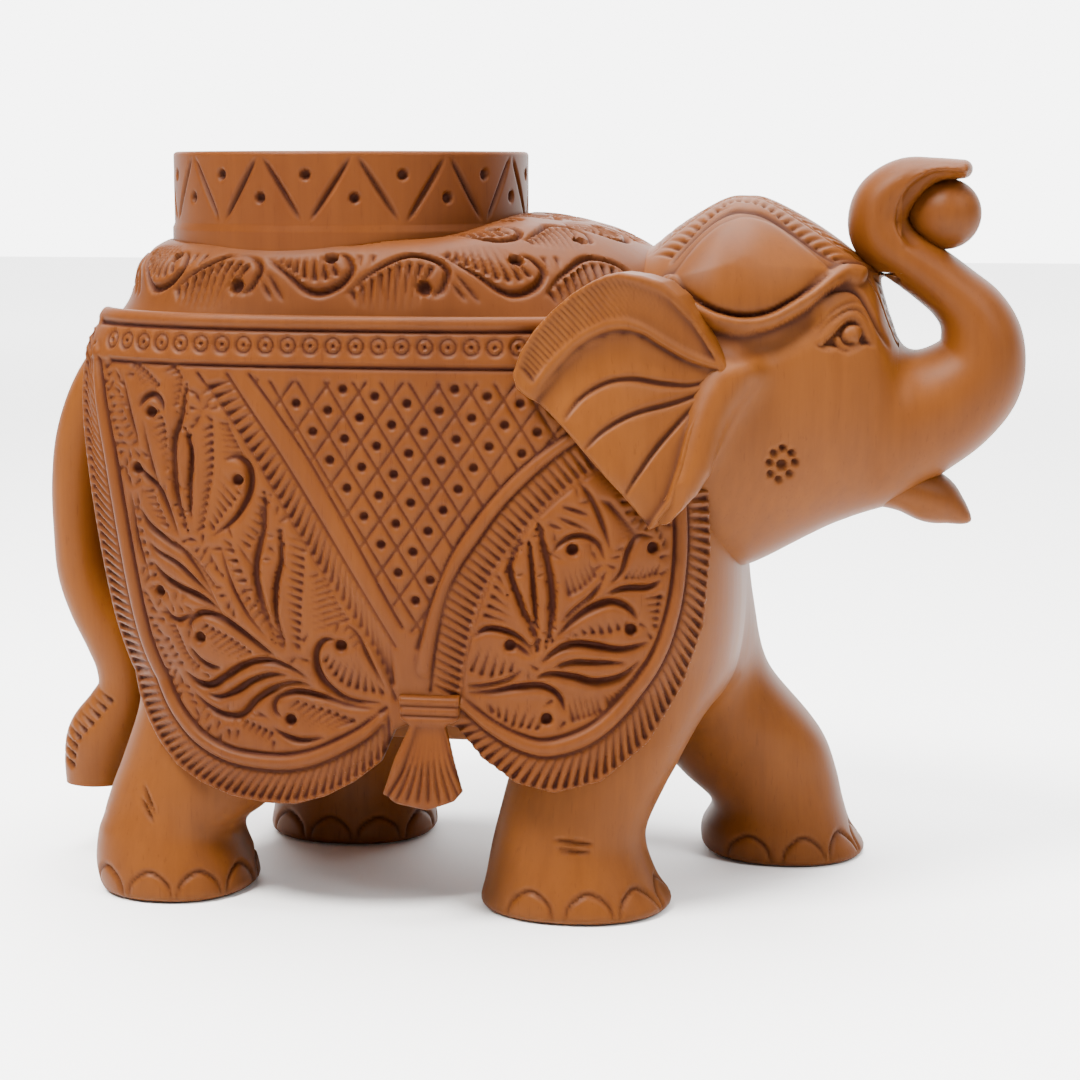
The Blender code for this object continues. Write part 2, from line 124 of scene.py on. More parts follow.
# Tail sections: centre x, centre z, half depth, half width. The last five are the tuft.
TAIL_SECTIONS = [
    (-62.8, 86, 1.8, 2.8), (-65.4, 81.5, 2.8, 3.8), (-68, 77, 3.5, 4.4), (-70, 72, 4, 4.8),
    (-71.6, 66, 4.2, 5), (-72.3, 59, 4.2, 5.2), (-72.3, 52, 4.1, 5.2), (-71.8, 45.5, 4.2, 5),
    (-70, 40, 4.3, 4.8), (-67.4, 35, 4.5, 4.6), (-65.6, 30.5, 4.5, 4.4), (-65.3, 26, 4.6, 4.4),
    (-67, 21.8, 5.4, 4.7), (-69.4, 18, 5.9, 4.9), (-70.4, 14.5, 5.5, 4.6), (-70.7, 10, 5, 4.2),
]
TAIL_END_Z = 10.6


# ---- curves and small helpers ----
def smoothstep(low, high, value):
    t = np.clip((value - low) / (high - low), 0, 1)
    return t * t * (3 - 2 * t)


def curve(points, per_span=8):
    """Points along a smooth curve through the given ones (Catmull-Rom)."""
    p = np.array(points, float)
    if len(p) == 2:
        share = np.linspace(0, 1, per_span + 1)[:, None]
        return p[0] + (p[1] - p[0]) * share
    p = np.vstack([2 * p[0] - p[1], p, 2 * p[-1] - p[-2]])
    found = []
    for a, b, c, d in zip(p, p[1:], p[2:], p[3:]):
        for t in np.arange(per_span) / per_span:
            found.append(
                0.5 * (2 * b + (c - a) * t + (2 * a - 5 * b + 4 * c - d) * t**2
                       + (3 * b - a - 3 * c + d) * t**3)
            )
    found.append(p[-2])
    return np.array(found)


def at_shares(path, count, margin=0):
    """Evenly spaced points along a path."""
    path = curve(path)
    steps = np.linalg.norm(np.diff(path, axis=0), axis=1)
    along = np.concatenate([[0], np.cumsum(steps)])
    wanted = np.linspace(margin, along[-1] - margin, count)
    return np.stack([np.interp(wanted, along, path[:, k]) for k in range(path.shape[1])], 1)


def table(rows, key):
    """The rows' values at each key, by a smooth curve through the rows."""
    dense = curve(rows, 12)
    order = np.argsort(dense[:, 0])
    dense = dense[order]
    return [np.interp(key, dense[:, 0], dense[:, k]) for k in range(1, dense.shape[1])]


def smooth_union(a, b, reach):
    h = np.clip(0.5 + 0.5 * (b - a) / reach, 0, 1)
    return b + (a - b) * h - reach * h * (1 - h)


def smooth_cut(a, b, reach):
    """Where both are negative, with the edge between them rounded."""
    return -smooth_union(-a, -b, reach)


def blurred(field, cells):
    """A box blur done three times, which is close to a Gaussian."""
    for axis in (0, 1):
        for _ in range(3):
            margins = [(cells + 1, cells) if k == axis else (0, 0) for k in (0, 1)]
            padded = np.pad(field, margins, mode="edge")
            total = np.cumsum(padded, axis=axis, dtype=np.float64)
            ahead = np.take(total, range(2 * cells + 1, total.shape[axis]), axis=axis)
            behind = np.take(total, range(0, total.shape[axis] - 2 * cells - 1), axis=axis)
            field = (ahead - behind) / (2 * cells + 1)
    return field


def bilinear(field, x, y):
    """A field read between its grid points, with x and y counted in cells."""
    x = np.clip(x, 0, field.shape[0] - 1.001)
    y = np.clip(y, 0, field.shape[1] - 1.001)
    i, j = x.astype(int), y.astype(int)
    s, t = x - i, y - j
    if field.ndim == 3:
        s, t = s[:, None], t[:, None]
    return (field[i, j] * (1 - s) * (1 - t) + field[i + 1, j] * s * (1 - t)
            + field[i, j + 1] * (1 - s) * t + field[i + 1, j + 1] * s * t)


# ---- carving: a flat sheet of heights that strokes are cut into ----
class Relief:
    CELL = 0.1

    def __init__(self, left, right, bottom, top, seed=1):
        self.left, self.bottom = left, bottom
        self.u = np.arange(left, right, self.CELL)
        self.v = np.arange(bottom, top, self.CELL)
        self.level = np.zeros((len(self.u), len(self.v)))
        self.depth = np.zeros_like(self.level)
        self.random = np.random.default_rng(seed)

    def grid(self):
        return self.u[:, None], self.v[None, :]

    def cells(self, length):
        return int(length / self.CELL)

    def stroke(self, points, radii, depths):
        """Cuts a rounded V along a path whose width and depth change from point to point."""
        points = np.asarray(points, float)
        for p, q, r0, r1, d0, d1 in zip(points, points[1:], radii, radii[1:], depths, depths[1:]):
            reach = max(r0, r1) + self.CELL
            low, high = np.minimum(p, q) - reach, np.maximum(p, q) + reach
            i0, j0 = max(0, self.cells(low[0] - self.left)), max(0, self.cells(low[1] - self.bottom))
            i1 = min(len(self.u), self.cells(high[0] - self.left) + 2)
            j1 = min(len(self.v), self.cells(high[1] - self.bottom) + 2)
            if i1 <= i0 or j1 <= j0:
                continue
            du = self.u[i0:i1, None] - p[0]
            dv = self.v[None, j0:j1] - p[1]
            eu, ev = q[0] - p[0], q[1] - p[1]
            t = np.clip((du * eu + dv * ev) / max(1e-9, eu * eu + ev * ev), 0, 1)
            away = np.hypot(du - t * eu, dv - t * ev)
            radius = r0 + (r1 - r0) * t
            depth = (d0 + (d1 - d0) * t) * (1 - np.clip(away / radius, 0, 1) ** 1.4)
            window = self.depth[i0:i1, j0:j1]
            np.maximum(window, depth, out=window)

    def gouge(self, points, width, depth=None, taper=0.6):
        """A gouge cut that swells in the middle and runs out at both ends."""
        path = curve(points)
        share = np.linspace(0, 1, len(path))
        swell = np.maximum(np.sin(np.pi * share), 0) ** taper
        depth = 0.75 * width if depth is None else depth
        self.stroke(path, 0.12 + (width / 2 - 0.12) * swell, 0.06 + (depth - 0.06) * swell)

    def line(self, points, width, depth):
        """A cut of even width."""
        path = curve(points)
        self.stroke(path, [width / 2] * len(path), [depth] * len(path))

    def chip(self, tail, head, width, depth, start=0.14):
        """A teardrop chip, thin at its tail and deep at its head."""
        path = np.linspace(tail, head, 4)
        self.stroke(path, np.linspace(start, width / 2, 4), np.linspace(1.2 * start, depth, 4))

    def chips(self, count, tails, heads, width=0.95, depth=0.7):
        for tail, head in zip(at_shares(tails, count), at_shares(heads, count)):
            self.chip(tail, head, width, depth)

    def dot(self, centre, radius, depth):
        """A drilled hole with a flat bottom."""
        u, v = self.grid()
        i0, i1 = np.searchsorted(self.u, [centre[0] - radius - 0.3, centre[0] + radius + 0.3])
        j0, j1 = np.searchsorted(self.v, [centre[1] - radius - 0.3, centre[1] + radius + 0.3])
        away = np.hypot(u[i0:i1] - centre[0], v[:, j0:j1] - centre[1])
        window = self.depth[i0:i1, j0:j1]
        np.maximum(window, depth * smoothstep(radius + 0.12, radius - 0.12, away), out=window)

    def ring(self, centre, radius, width, depth):
        around = np.linspace(0, 2 * math.pi, 25)
        path = np.stack([centre[0] + radius * np.cos(around), centre[1] + radius * np.sin(around)], 1)
        self.stroke(path, [width / 2] * 25, [depth] * 25)

    def channel(self, points, width, depth=1):
        """A deep gouge whose floor is roughened with the point of the tool."""
        self.gouge(points, width, depth)
        path = curve(points, 10)
        for p in path[2:-2]:
            for _ in range(2):
                spot = p + self.random.normal(0, width * 0.22, 2)
                self.dot(spot, 0.16, depth * 0.9 + 0.25)

    def surface(self):
        """Heights over the sheet: levels less cuts, softened a little as by sanding."""
        return blurred(self.level - self.depth, 1)

    def sample(self, field, u, v):
        return bilinear(field, (u - self.left) / self.CELL, (v - self.bottom) / self.CELL)

    def inside(self, outline):
        """Signed distance to a closed outline, negative inside, all over the sheet."""
        path = np.asarray(outline, float)
        u, v = self.grid()
        u, v = np.broadcast_arrays(u, v)
        best = np.full(u.shape, 1e9)
        crossings = np.zeros(u.shape, int)
        for p, q in zip(path, np.roll(path, -1, axis=0)):
            e = q - p
            t = np.clip(((u - p[0]) * e[0] + (v - p[1]) * e[1]) / max(1e-9, e @ e), 0, 1)
            np.minimum(best, np.hypot(u - p[0] - t * e[0], v - p[1] - t * e[1]), out=best)
            spans = (p[1] > v) != (q[1] > v)
            if abs(e[1]) > 1e-9:
                crossings += spans & (u < p[0] + (v - p[1]) / e[1] * e[0])
        return np.where(crossings % 2 == 1, -best, best)


# ---- the unrolled side of the barrel ----
class Wall:
    """One side of the barrel: u runs along it from the middle towards the head, v is height."""
    ROW, COLUMN = 0.5, 0.25

    def __init__(self, side, grow):
        self.v = np.arange(10, 104, self.ROW)
        self.u = np.arange(-92, 62, self.COLUMN)
        angles = np.linspace(0.004, math.pi - 0.004, 1501)
        points = np.zeros((len(self.v), len(self.u), 3))
        for row, height in enumerate(self.v):
            rump, chest, half, roundness = table(TORSO_SECTIONS, max(height, CLOTH_HANG_Z))
            middle, reach = (rump + chest) / 2, (chest - rump) / 2
            cosine = np.cos(angles)
            x = middle + (reach + grow) * np.sign(cosine) * np.abs(cosine) ** (2 / roundness)
            y = (half + grow) * np.sin(angles) ** (2 / roundness)
            steps = np.hypot(np.diff(x), np.diff(y))
            along = np.concatenate([[0], np.cumsum(steps)])
            start = np.interp(-MIDDLE_U, -x, along)
            u = MIDDLE_U + start - along
            fade = 1 - smoothstep(BELLY_Z, STRIDE_FADE_TOP, max(height, CLOTH_HANG_Z))
            if side > 0:
                x = x + STRIDE * y / half * fade
            points[row, :, 0] = np.interp(-self.u, -u, x)
            points[row, :, 1] = side * np.interp(-self.u, -u, y)
            points[row, :, 2] = height
        self.points = points
        across = np.gradient(points, axis=1)
        up = np.gradient(points, axis=0)
        normals = np.cross(across, up) * -side
        normals /= np.maximum(np.linalg.norm(normals, axis=2, keepdims=True), 1e-9)
        self.normals = normals

    def at(self, u, v, h):
        """The places at u along, v up and h out from the wall."""
        row, column = (v - self.v[0]) / self.ROW, (u - self.u[0]) / self.COLUMN
        return bilinear(self.points, row, column) + bilinear(self.normals, row, column) * h[:, None]


# ---- meshes ----
def mesh_piece(name, points, faces, material, cavity_shade=None, smooth_angle=40):
    """Makes a mesh object from millimetre points, with how deep each point is cut, which the material
    paints as shade, in a point attribute.
    """
    mesh = bpy.data.meshes.new(name)
    points = np.asarray(points, np.float32) * MM
    faces = np.asarray(faces, np.int32)
    mesh.vertices.add(len(points))
    mesh.vertices.foreach_set("co", points.ravel())
    sides = faces.shape[1]
    mesh.loops.add(faces.size)
    mesh.loops.foreach_set("vertex_index", faces.ravel())
    mesh.polygons.add(len(faces))
    mesh.polygons.foreach_set("loop_start", np.arange(len(faces), dtype=np.int32) * sides)
    mesh.update(calc_edges=True)
    made = mesh.attributes.new("cavity_shade", "FLOAT", "POINT")
    if cavity_shade is not None:
        made.data.foreach_set("value", np.asarray(cavity_shade, np.float32))
    obj = bpy.data.objects.new(name, mesh)
    bpy.context.scene.collection.objects.link(obj)
    mesh.materials.append(material)
    finish_mesh(obj, smooth_angle)
    return obj


def declare(obj, node):
    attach(obj, "root")
    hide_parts(node)


def finish_mesh(obj, smooth_angle=40):
    """Turns the faces outwards and shades the piece smooth between its sharp edges."""
    made = bmesh.new()
    made.from_mesh(obj.data)
    if made.calc_volume(signed=True) < 0:
        bmesh.ops.reverse_faces(made, faces=made.faces)
    made.to_mesh(obj.data)
    made.free()
    obj.data.shade_smooth()
    obj.data.set_sharp_from_angle(angle=math.radians(smooth_angle))


def field_mesh(values, low, step):
    """The surface where a field of values crosses zero, as points and four-sided faces."""
    grid = openvdb.FloatGrid(10.0)
    grid.copyFromArray(np.ascontiguousarray(values, dtype=np.float32))
    points, quads = grid.convertToQuads(0)
    return np.asarray(low) + points * step, quads


def solid(name, shape, low, high, step, material, cuts=(), relief=None):
    """A piece of a solid shape inside a box. Each cut is (point, normal) and drops what is past it."""
    axes = [np.arange(a, b + step, step) for a, b in zip(low, high)]
    x, y, z = np.meshgrid(*axes, indexing="ij", sparse=True)
    points, quads = field_mesh(shape(x, y, z), low, step)
    obj = mesh_piece(name, points, quads, material)
    if relief is not None:
        carve(obj, relief)
    if cuts:
        made = bmesh.new()
        made.from_mesh(obj.data)
        for point, normal, *limit in cuts:
            bmesh.ops.bisect_plane(
                made, geom=cut_geometry(made, *limit), dist=1e-7,
                plane_co=Vector(point) * MM, plane_no=normal, clear_outer=True,
            )
            edges = [e for e in made.edges if e.is_boundary]
            bmesh.ops.triangle_fill(made, edges=edges, use_beauty=True, use_dissolve=False, normal=normal)
        keep_largest(made)
        made.to_mesh(obj.data)
        made.free()
        finish_mesh(obj)
    return obj


def cut_geometry(made, limit=1e9):
    """What a cut may touch: all of the mesh, or only what lies under a height."""
    verts = [v for v in made.verts if v.co.z < limit * MM]
    kept = set(verts)
    edges = [e for e in made.edges if kept.issuperset(e.verts)]
    faces = [f for f in made.faces if kept.issuperset(f.verts)]
    return verts + edges + faces


def keep_largest(made):
    """Drops the loose crumbs and keeps the part with the most faces."""
    left = set(made.verts)
    groups = []
    while left:
        group = [left.pop()]
        for vert in group:
            near = {edge.other_vert(vert) for edge in vert.link_edges} & left
            left -= near
            group.extend(near)
        groups.append(group)
    groups.sort(key=len)
    for group in groups[:-1]:
        bmesh.ops.delete(made, geom=group, context="VERTS")


def carve(obj, relief):
    """Moves each point along its normal by relief(points, normals), which also says how deep it is, kept
    for the painted shade of its cuts.
    """
    mesh = obj.data
    points, normals = np.zeros((2, len(mesh.vertices), 3), np.float32)
    mesh.vertices.foreach_get("co", points.ravel())
    mesh.vertices.foreach_get("normal", normals.ravel())
    points = points / MM
    height, cavity_shade = relief(points, normals)
    points = points + normals * height[:, None]
    mesh.vertices.foreach_set("co", (points * MM).astype(np.float32).ravel())
    mesh.attributes["cavity_shade"].data.foreach_set("value", cavity_shade.astype(np.float32))
    mesh.update()


def slab(name, sheet, outline, thickness, step, place, material, edge_round):
    """A carved plate: the sheet's surface above, flat below, inside the outline, bent into place."""
    surface, cavity_shade = sheet_fields(sheet)
    edge = sheet.inside(outline)
    rows, columns = np.where(edge < 1)
    u = np.arange(sheet.u[rows.min()] - 1, sheet.u[rows.max()] + 1, step)
    v = np.arange(sheet.v[columns.min()] - 1, sheet.v[columns.max()] + 1, step)
    h = np.arange(-thickness - 2 * step, surface.max() + 4 * step, step)
    grid_u, grid_v = np.meshgrid(u, v, indexing="ij")
    top = sheet.sample(surface, grid_u, grid_v)
    side = sheet.sample(edge, grid_u, grid_v)
    field = smooth_cut(h[None, None, :] - top[:, :, None], side[:, :, None] + 0 * h, edge_round)
    field = np.maximum(field, -thickness - h[None, None, :])
    points, quads = field_mesh(field, (u[0], v[0], h[0]), step)
    u, v, h = points.T
    # Painted shade in the cuts, kept on the carved face and faded out on the plate's sides and back.
    shade = sheet.sample(cavity_shade, u, v) * smoothstep(-2.2, -0.2, h - sheet.sample(surface, u, v))
    return mesh_piece(name, place(u, v, h), quads, material, shade)


def sheet_fields(sheet):
    """A sheet's surface, and how far each spot lies below its neighbourhood, from 0 to 1, which sets the
    painted shade in its cuts.
    """
    surface = sheet.surface()
    return surface, np.clip((blurred(surface, 7) - surface) / 0.32, 0, 1)


def carving(sheet, where):
    """A relief for carve(). where(points, normals) gives u, v, the share kept and the share of painted
    shade.
    """
    surface, cavity_shade = sheet_fields(sheet)

    def relief(points, normals):
        u, v, keep, shade_share = where(points, normals)
        return sheet.sample(surface, u, v) * keep, sheet.sample(cavity_shade, u, v) * shade_share
    return relief


# ---- solid shapes ----
def plan_distance(x, y, middle, reach, half, roundness):
    """Radial distance outside a superellipse in plan."""
    r = np.hypot(x - middle, y) + 1e-6
    rho = (np.abs((x - middle) / reach) ** roundness + np.abs(y / half) ** roundness) ** (1 / roundness)
    return r - r / np.maximum(rho, 1e-3)


def deck_height(x, y):
    crown = 3.5 * smoothstep(-12, 2, x) * (1 - np.minimum(1, np.abs(y) / 27) ** 2.2)
    neck = 4.6 * smoothstep(2, 26, x)
    return DECK_Z - 0.6 + crown - neck


def barrel_shape(x, y, z):
    rump, chest, half, roundness = table(TORSO_SECTIONS, np.clip(z, 20, 104))
    fade = 1 - smoothstep(BELLY_Z, STRIDE_FADE_TOP, z)
    straight = x - STRIDE * np.maximum(0, y) / half * fade
    wall = plan_distance(straight, y, (rump + chest) / 2, (chest - rump) / 2, half, roundness)
    body = smooth_cut(wall, z - deck_height(x, y), 5)
    return smooth_cut(body, BELLY_Z - z, 9)


def leg_shape(rows):
    def shape(x, y, z):
        back, front, middle_y, width = table(rows, np.clip(z, -2, 42))
        side = plan_distance(x - (back + front) / 2, y - middle_y, 0, (front - back) / 2, width, 2.2)
        return smooth_cut(smooth_cut(side, z - 38, 8), -z, 0.9)
    return shape


def head_shape(x, y, z):
    jaw, crown, half = table(HEAD_SECTIONS, np.clip(x, 12, 64))
    middle, reach = (jaw + crown) / 2, (crown - jaw) / 2
    r = np.hypot(y, z - middle) + 1e-6
    rho = (np.abs(y / half) ** 2.3 + np.abs((z - middle) / reach) ** 2.3) ** (1 / 2.3)
    around = r - r / np.maximum(rho, 1e-3)
    return smooth_cut(smooth_cut(around, x - 59.5, 5), 13 - x, 2)


def on_ear(u, v, h, side=1):
    """A place on the ear: u forwards, v up and h out of its face, whose lower tip swings outwards."""
    slope = (EAR_REAR_Y - EAR_FRONT_Y) / (EAR_REAR_X - EAR_FRONT_X)
    lift = EAR_LIFT * smoothstep(84, 62, v)
    out = EAR_FRONT_Y + slope * (u - EAR_FRONT_X) + lift + h
    return np.stack([u - 0.22 * h + 0.17 * lift, side * out, v + 0.15 * lift], 1)


def ear_root_shape(x, y, z):
    """The ridge of cheek that the front of each ear grows from."""
    path = curve(EAR_FRONT, 2)[1:]
    radii = 1.3 + 1.5 * smoothstep(60, 68, path[:, 1])
    path = on_ear(path[:, 0] + ROOT_AHEAD * radii / 2.8 - 0.2, path[:, 1], ROOT_RISE - radii)
    best = None
    for p, q, r0, r1 in zip(path, path[1:], radii, radii[1:]):
        e = q - p
        d = (x - p[0], np.abs(y) - p[1], z - p[2])
        t = np.clip((d[0] * e[0] + d[1] * e[1] + d[2] * e[2]) / (e @ e), 0, 1)
        away = np.sqrt(sum((dk - t * ek) ** 2 for dk, ek in zip(d, e))) - r0 - (r1 - r0) * t
        best = away if best is None else np.minimum(best, away)
    return best


def swept_shape(sections, per_span=6):
    path = curve(sections, per_span)

    def shape(x, y, z):
        best = None
        for (xa, za, da, wa), (xb, zb, db, wb) in zip(path, path[1:]):
            ex, ez = xb - xa, zb - za
            t = np.clip(((x - xa) * ex + (z - za) * ez) / (ex * ex + ez * ez), 0, 1)
            away = np.hypot(x - xa - t * ex, z - za - t * ez)
            depth, width = da + (db - da) * t, wa + (wb - wa) * t
            r = np.hypot(away, y) + 1e-6
            rho = np.sqrt((away / depth) ** 2 + (y / width) ** 2)
            found = r - r / np.maximum(rho, 1e-3)
            best = found if best is None else np.minimum(best, found)
        return best
    return shape


TRUNK_SHAPE = swept_shape(TRUNK_SECTIONS)
LEG_SHAPES = {name: leg_shape(rows) for name, rows in LEGS.items()}


def body_shape(x, y, z):
    """The smooth union of barrel and legs."""
    whole = barrel_shape(x, y, z)
    for shape in LEG_SHAPES.values():
        whole = smooth_union(whole, shape(x, y, z), 4)
    return whole


def face_shape(x, y, z):
    """The smooth union of head, ear roots and trunk."""
    head = smooth_union(head_shape(x, y, z), ear_root_shape(x, y, z), ROOT_REACH)
    low_trunk = np.maximum(TRUNK_SHAPE(x, y, z), np.minimum(z - 94, 56.5 - x))
    return smooth_union(head, low_trunk, 3.5)


def hollowed_body(x, y, z):
    """The body with the cup and the collar's seat cut into it."""
    away = np.hypot(x - COLLAR_X, y)
    cup = np.maximum(away - CUP_R, CUP_FLOOR - z)
    seat = np.maximum(away - COLLAR_R - 0.5, DECK_Z - 1.5 - z)
    body = body_shape(x, y, z)
    return np.maximum(body, -np.minimum(cup, seat))


# ---- materials ----
class Shader:
    """Short calls for building the nodes of a material, or of the world."""

    def __init__(self, material, main="Principled BSDF"):
        self.material = material
        material.use_nodes = True
        self.tree = material.node_tree
        self.main = self.tree.nodes[main]

    def node(self, kind, inputs=(), **settings):
        made = self.tree.nodes.new(kind)
        for key, value in settings.items():
            setattr(made, key, value)
        for key, value in dict(inputs).items():
            if isinstance(value, bpy.types.NodeSocket):
                self.tree.links.new(value, made.inputs[key])
            else:
                made.inputs[key].default_value = value
        return made

    def along_y(self, space, start, end, low, high):
        """A value that goes smoothly from low to high between two places along Y."""
        place = self.node("ShaderNodeTexCoord").outputs[space]
        y = self.node("ShaderNodeSeparateXYZ", {"Vector": place}).outputs["Y"]
        limits = {"Value": y, "From Min": start, "From Max": end, "To Min": low, "To Max": high}
        return self.node("ShaderNodeMapRange", limits, interpolation_type="SMOOTHSTEP").outputs[0]

    def stretched(self, scale):
        place = self.node("ShaderNodeTexCoord")
        made = self.node("ShaderNodeMapping", {"Vector": place.outputs["Object"], "Scale": scale})
        return made.outputs[0]

    def noise(self, scale, size, detail=4, rough=0.55):
        return self.node(
            "ShaderNodeTexNoise",
            {"Vector": self.stretched(scale), "Scale": size, "Detail": detail, "Roughness": rough},
        ).outputs["Fac"]

    def ramp(self, value, *stops):
        made = self.node("ShaderNodeValToRGB", {"Fac": value})
        points = made.color_ramp.elements
        while len(points) < len(stops):
            points.new(0.5)
        for point, (at, colour) in zip(points, stops):
            point.position = at
            point.color = colour if len(colour) == 4 else (*colour, 1)
        return made.outputs["Color"]

    def mix(self, share, a, b, blend="MIX"):
        made = self.node("ShaderNodeMix", data_type="RGBA", blend_type=blend)
        for key, value in ((0, share), (6, a), (7, b)):
            if isinstance(value, bpy.types.NodeSocket):
                self.tree.links.new(value, made.inputs[key])
            else:
                made.inputs[key].default_value = value if key == 0 else (*value, 1)
        return made.outputs[2]

    def math(self, operation, a, b):
        return self.node("ShaderNodeMath", {0: a, 1: b}, operation=operation).outputs[0]


def wood(name, light, dark, recess_shade, roughness):
    """Sanded and waxed close-grained wood. The cuts get painted shade, redder and darker, by how deep they
    are cut, from a point attribute.
    """
    s = Shader(bpy.data.materials.new(name))
    broad = s.noise((1, 1, 0.35), 38, 3)
    grain = s.noise((1, 1, 0.06), 620, 5, 0.65)
    pores = s.noise((1, 1, 0.10), 2600, 2, 0.5)
    tone = s.ramp(broad, (0.30, dark), (0.72, light))
    streak = s.ramp(grain, (0.34, (0.80, 0.74, 0.68)), (0.62, (1, 1, 1)))
    tone = s.mix(0.55, tone, streak, "MULTIPLY")
    specks = s.ramp(pores, (0.27, (0.62, 0.50, 0.42)), (0.36, (1, 1, 1)))
    tone = s.mix(0.40, tone, specks, "MULTIPLY")
    # Painted shade: the deeper a point is cut, the more its colour is mixed towards the dark red shade
    # colour, unevenly by a noise. The cut depth also dulls the shine.
    cavity_shade = s.node("ShaderNodeAttribute", attribute_name="cavity_shade").outputs["Fac"]
    uneven_shade = s.noise((1, 1, 1), 160, 3)
    share = s.math("MULTIPLY", cavity_shade, s.math("ADD", 0.62, s.math("MULTIPLY", uneven_shade, 0.5)))
    tone = s.mix(share, tone, recess_shade)
    s.tree.links.new(tone, s.main.inputs["Base Color"])
    range_of_shine = {"Value": grain, "To Min": roughness - 0.05, "To Max": roughness + 0.09}
    shine = s.node("ShaderNodeMapRange", range_of_shine)
    dull = s.math("MULTIPLY", cavity_shade, 0.22)
    s.tree.links.new(s.math("ADD", shine.outputs[0], dull), s.main.inputs["Roughness"])
    bump = s.node("ShaderNodeBump", {"Strength": 0.10, "Distance": 0.00012, "Height": grain})
    s.tree.links.new(bump.outputs[0], s.main.inputs["Normal"])
    s.main.inputs["Specular IOR Level"].default_value = 0.11
    return s.material


# ---- the carved patterns ----
# The lower edge and sides of the cloth, as u and v round the outline.
CLOTH_OUTLINE = [
    (-64.6, 88.9), (-66.6, 84.5), (-67.4, 80), (-66.5, 74), (-65, 65), (-63.6, 57), (-62.6, 50),
    (-61.6, 42), (-60, 35.5), (-57.8, 30.5), (-55.2, 27), (-52.3, 24), (-48.5, 21), (-44, 19),
    (-38.6, 17.5), (-32.8, 16.9), (-28, 17.1), (-23.5, 18.5), (-19.2, 20.8), (-15, 24.1), (-12.8, 29),
    (-8, 31), (-3.6, 29.5), (0, 25.2), (5, 21.6), (10.5, 20.2), (17.5, 21.8), (24.6, 27.2), (30.3, 35),
    (34, 44.1), (35.5, 55), (35.5, 64), (33, 74), (30, 82), (28.5, 88.9),
]
REAR_HEM = [(-65.4, 87.2)] + CLOTH_OUTLINE[1:19] + [(-14.5, 24.6), (-12.2, 29.5)]
FRONT_HEM = [(-4, 29.5)] + CLOTH_OUTLINE[23:32] + [(33.5, 73)]
REAR_INNER = [
    (-60.5, 82), (-59, 77.5), (-57.6, 72.5), (-56.3, 67.5), (-55.2, 61.5), (-54.3, 56), (-53.4, 50),
    (-52.5, 44), (-51.4, 39), (-49, 33.2), (-46.2, 29.5), (-42.8, 26.7), (-38.5, 25), (-34, 24.5),
    (-29.5, 24.6), (-25.2, 25.6), (-21.2, 27.4), (-17.5, 29.5), (-14, 32.3),
]
FRONT_INNER = [(-2.5, 34), (1.5, 31), (6, 28.8), (10, 28.3), (16, 30.6), (21, 35.4),
               (24.8, 40.5), (27, 46), (28.2, 51.5), (28.6, 58), (28.2, 66)]
# The lines that bound the lattice.
V_LEFT_OUT = [
    (-41.5, 80.5), (-37.2, 75), (-32.5, 68), (-27.8, 60), (-24, 53.7), (-18.8, 46), (-14.8, 39.5),
    (-12.6, 33.6),
]
V_LEFT_IN = [(-36.9, 80.5), (-33, 75), (-29, 69.3), (-23.8, 61), (-19.8, 54.3), (-15.2, 46.5),
    (-12.3, 41.6)]
V_LEFT_EDGE = [(-33.5, 80.5), (-29.8, 75.8), (-25, 69), (-21, 62.2), (-17.2, 55.5), (-13.2, 48),
    (-11.2, 44.5)]
LATTICE_START = (-21.5, 68.5)
RING_PITCH = 3.32
V_RIGHT_EDGE = [(-9, 41.5), (-7, 48), (-4, 55), (-1, 59.8), (3, 64.7), (7.5, 69), (13, 73)]
V_RIGHT_IN = [(-7.4, 35), (-6.2, 43), (-4, 51), (0.5, 58), (4.5, 63.3), (10.5, 69), (15, 72)]
V_RIGHT_OUT = [(-3, 34), (-1.2, 43), (1.5, 51), (5.5, 57), (9, 61.3), (14, 65.5), (19, 68.5)]

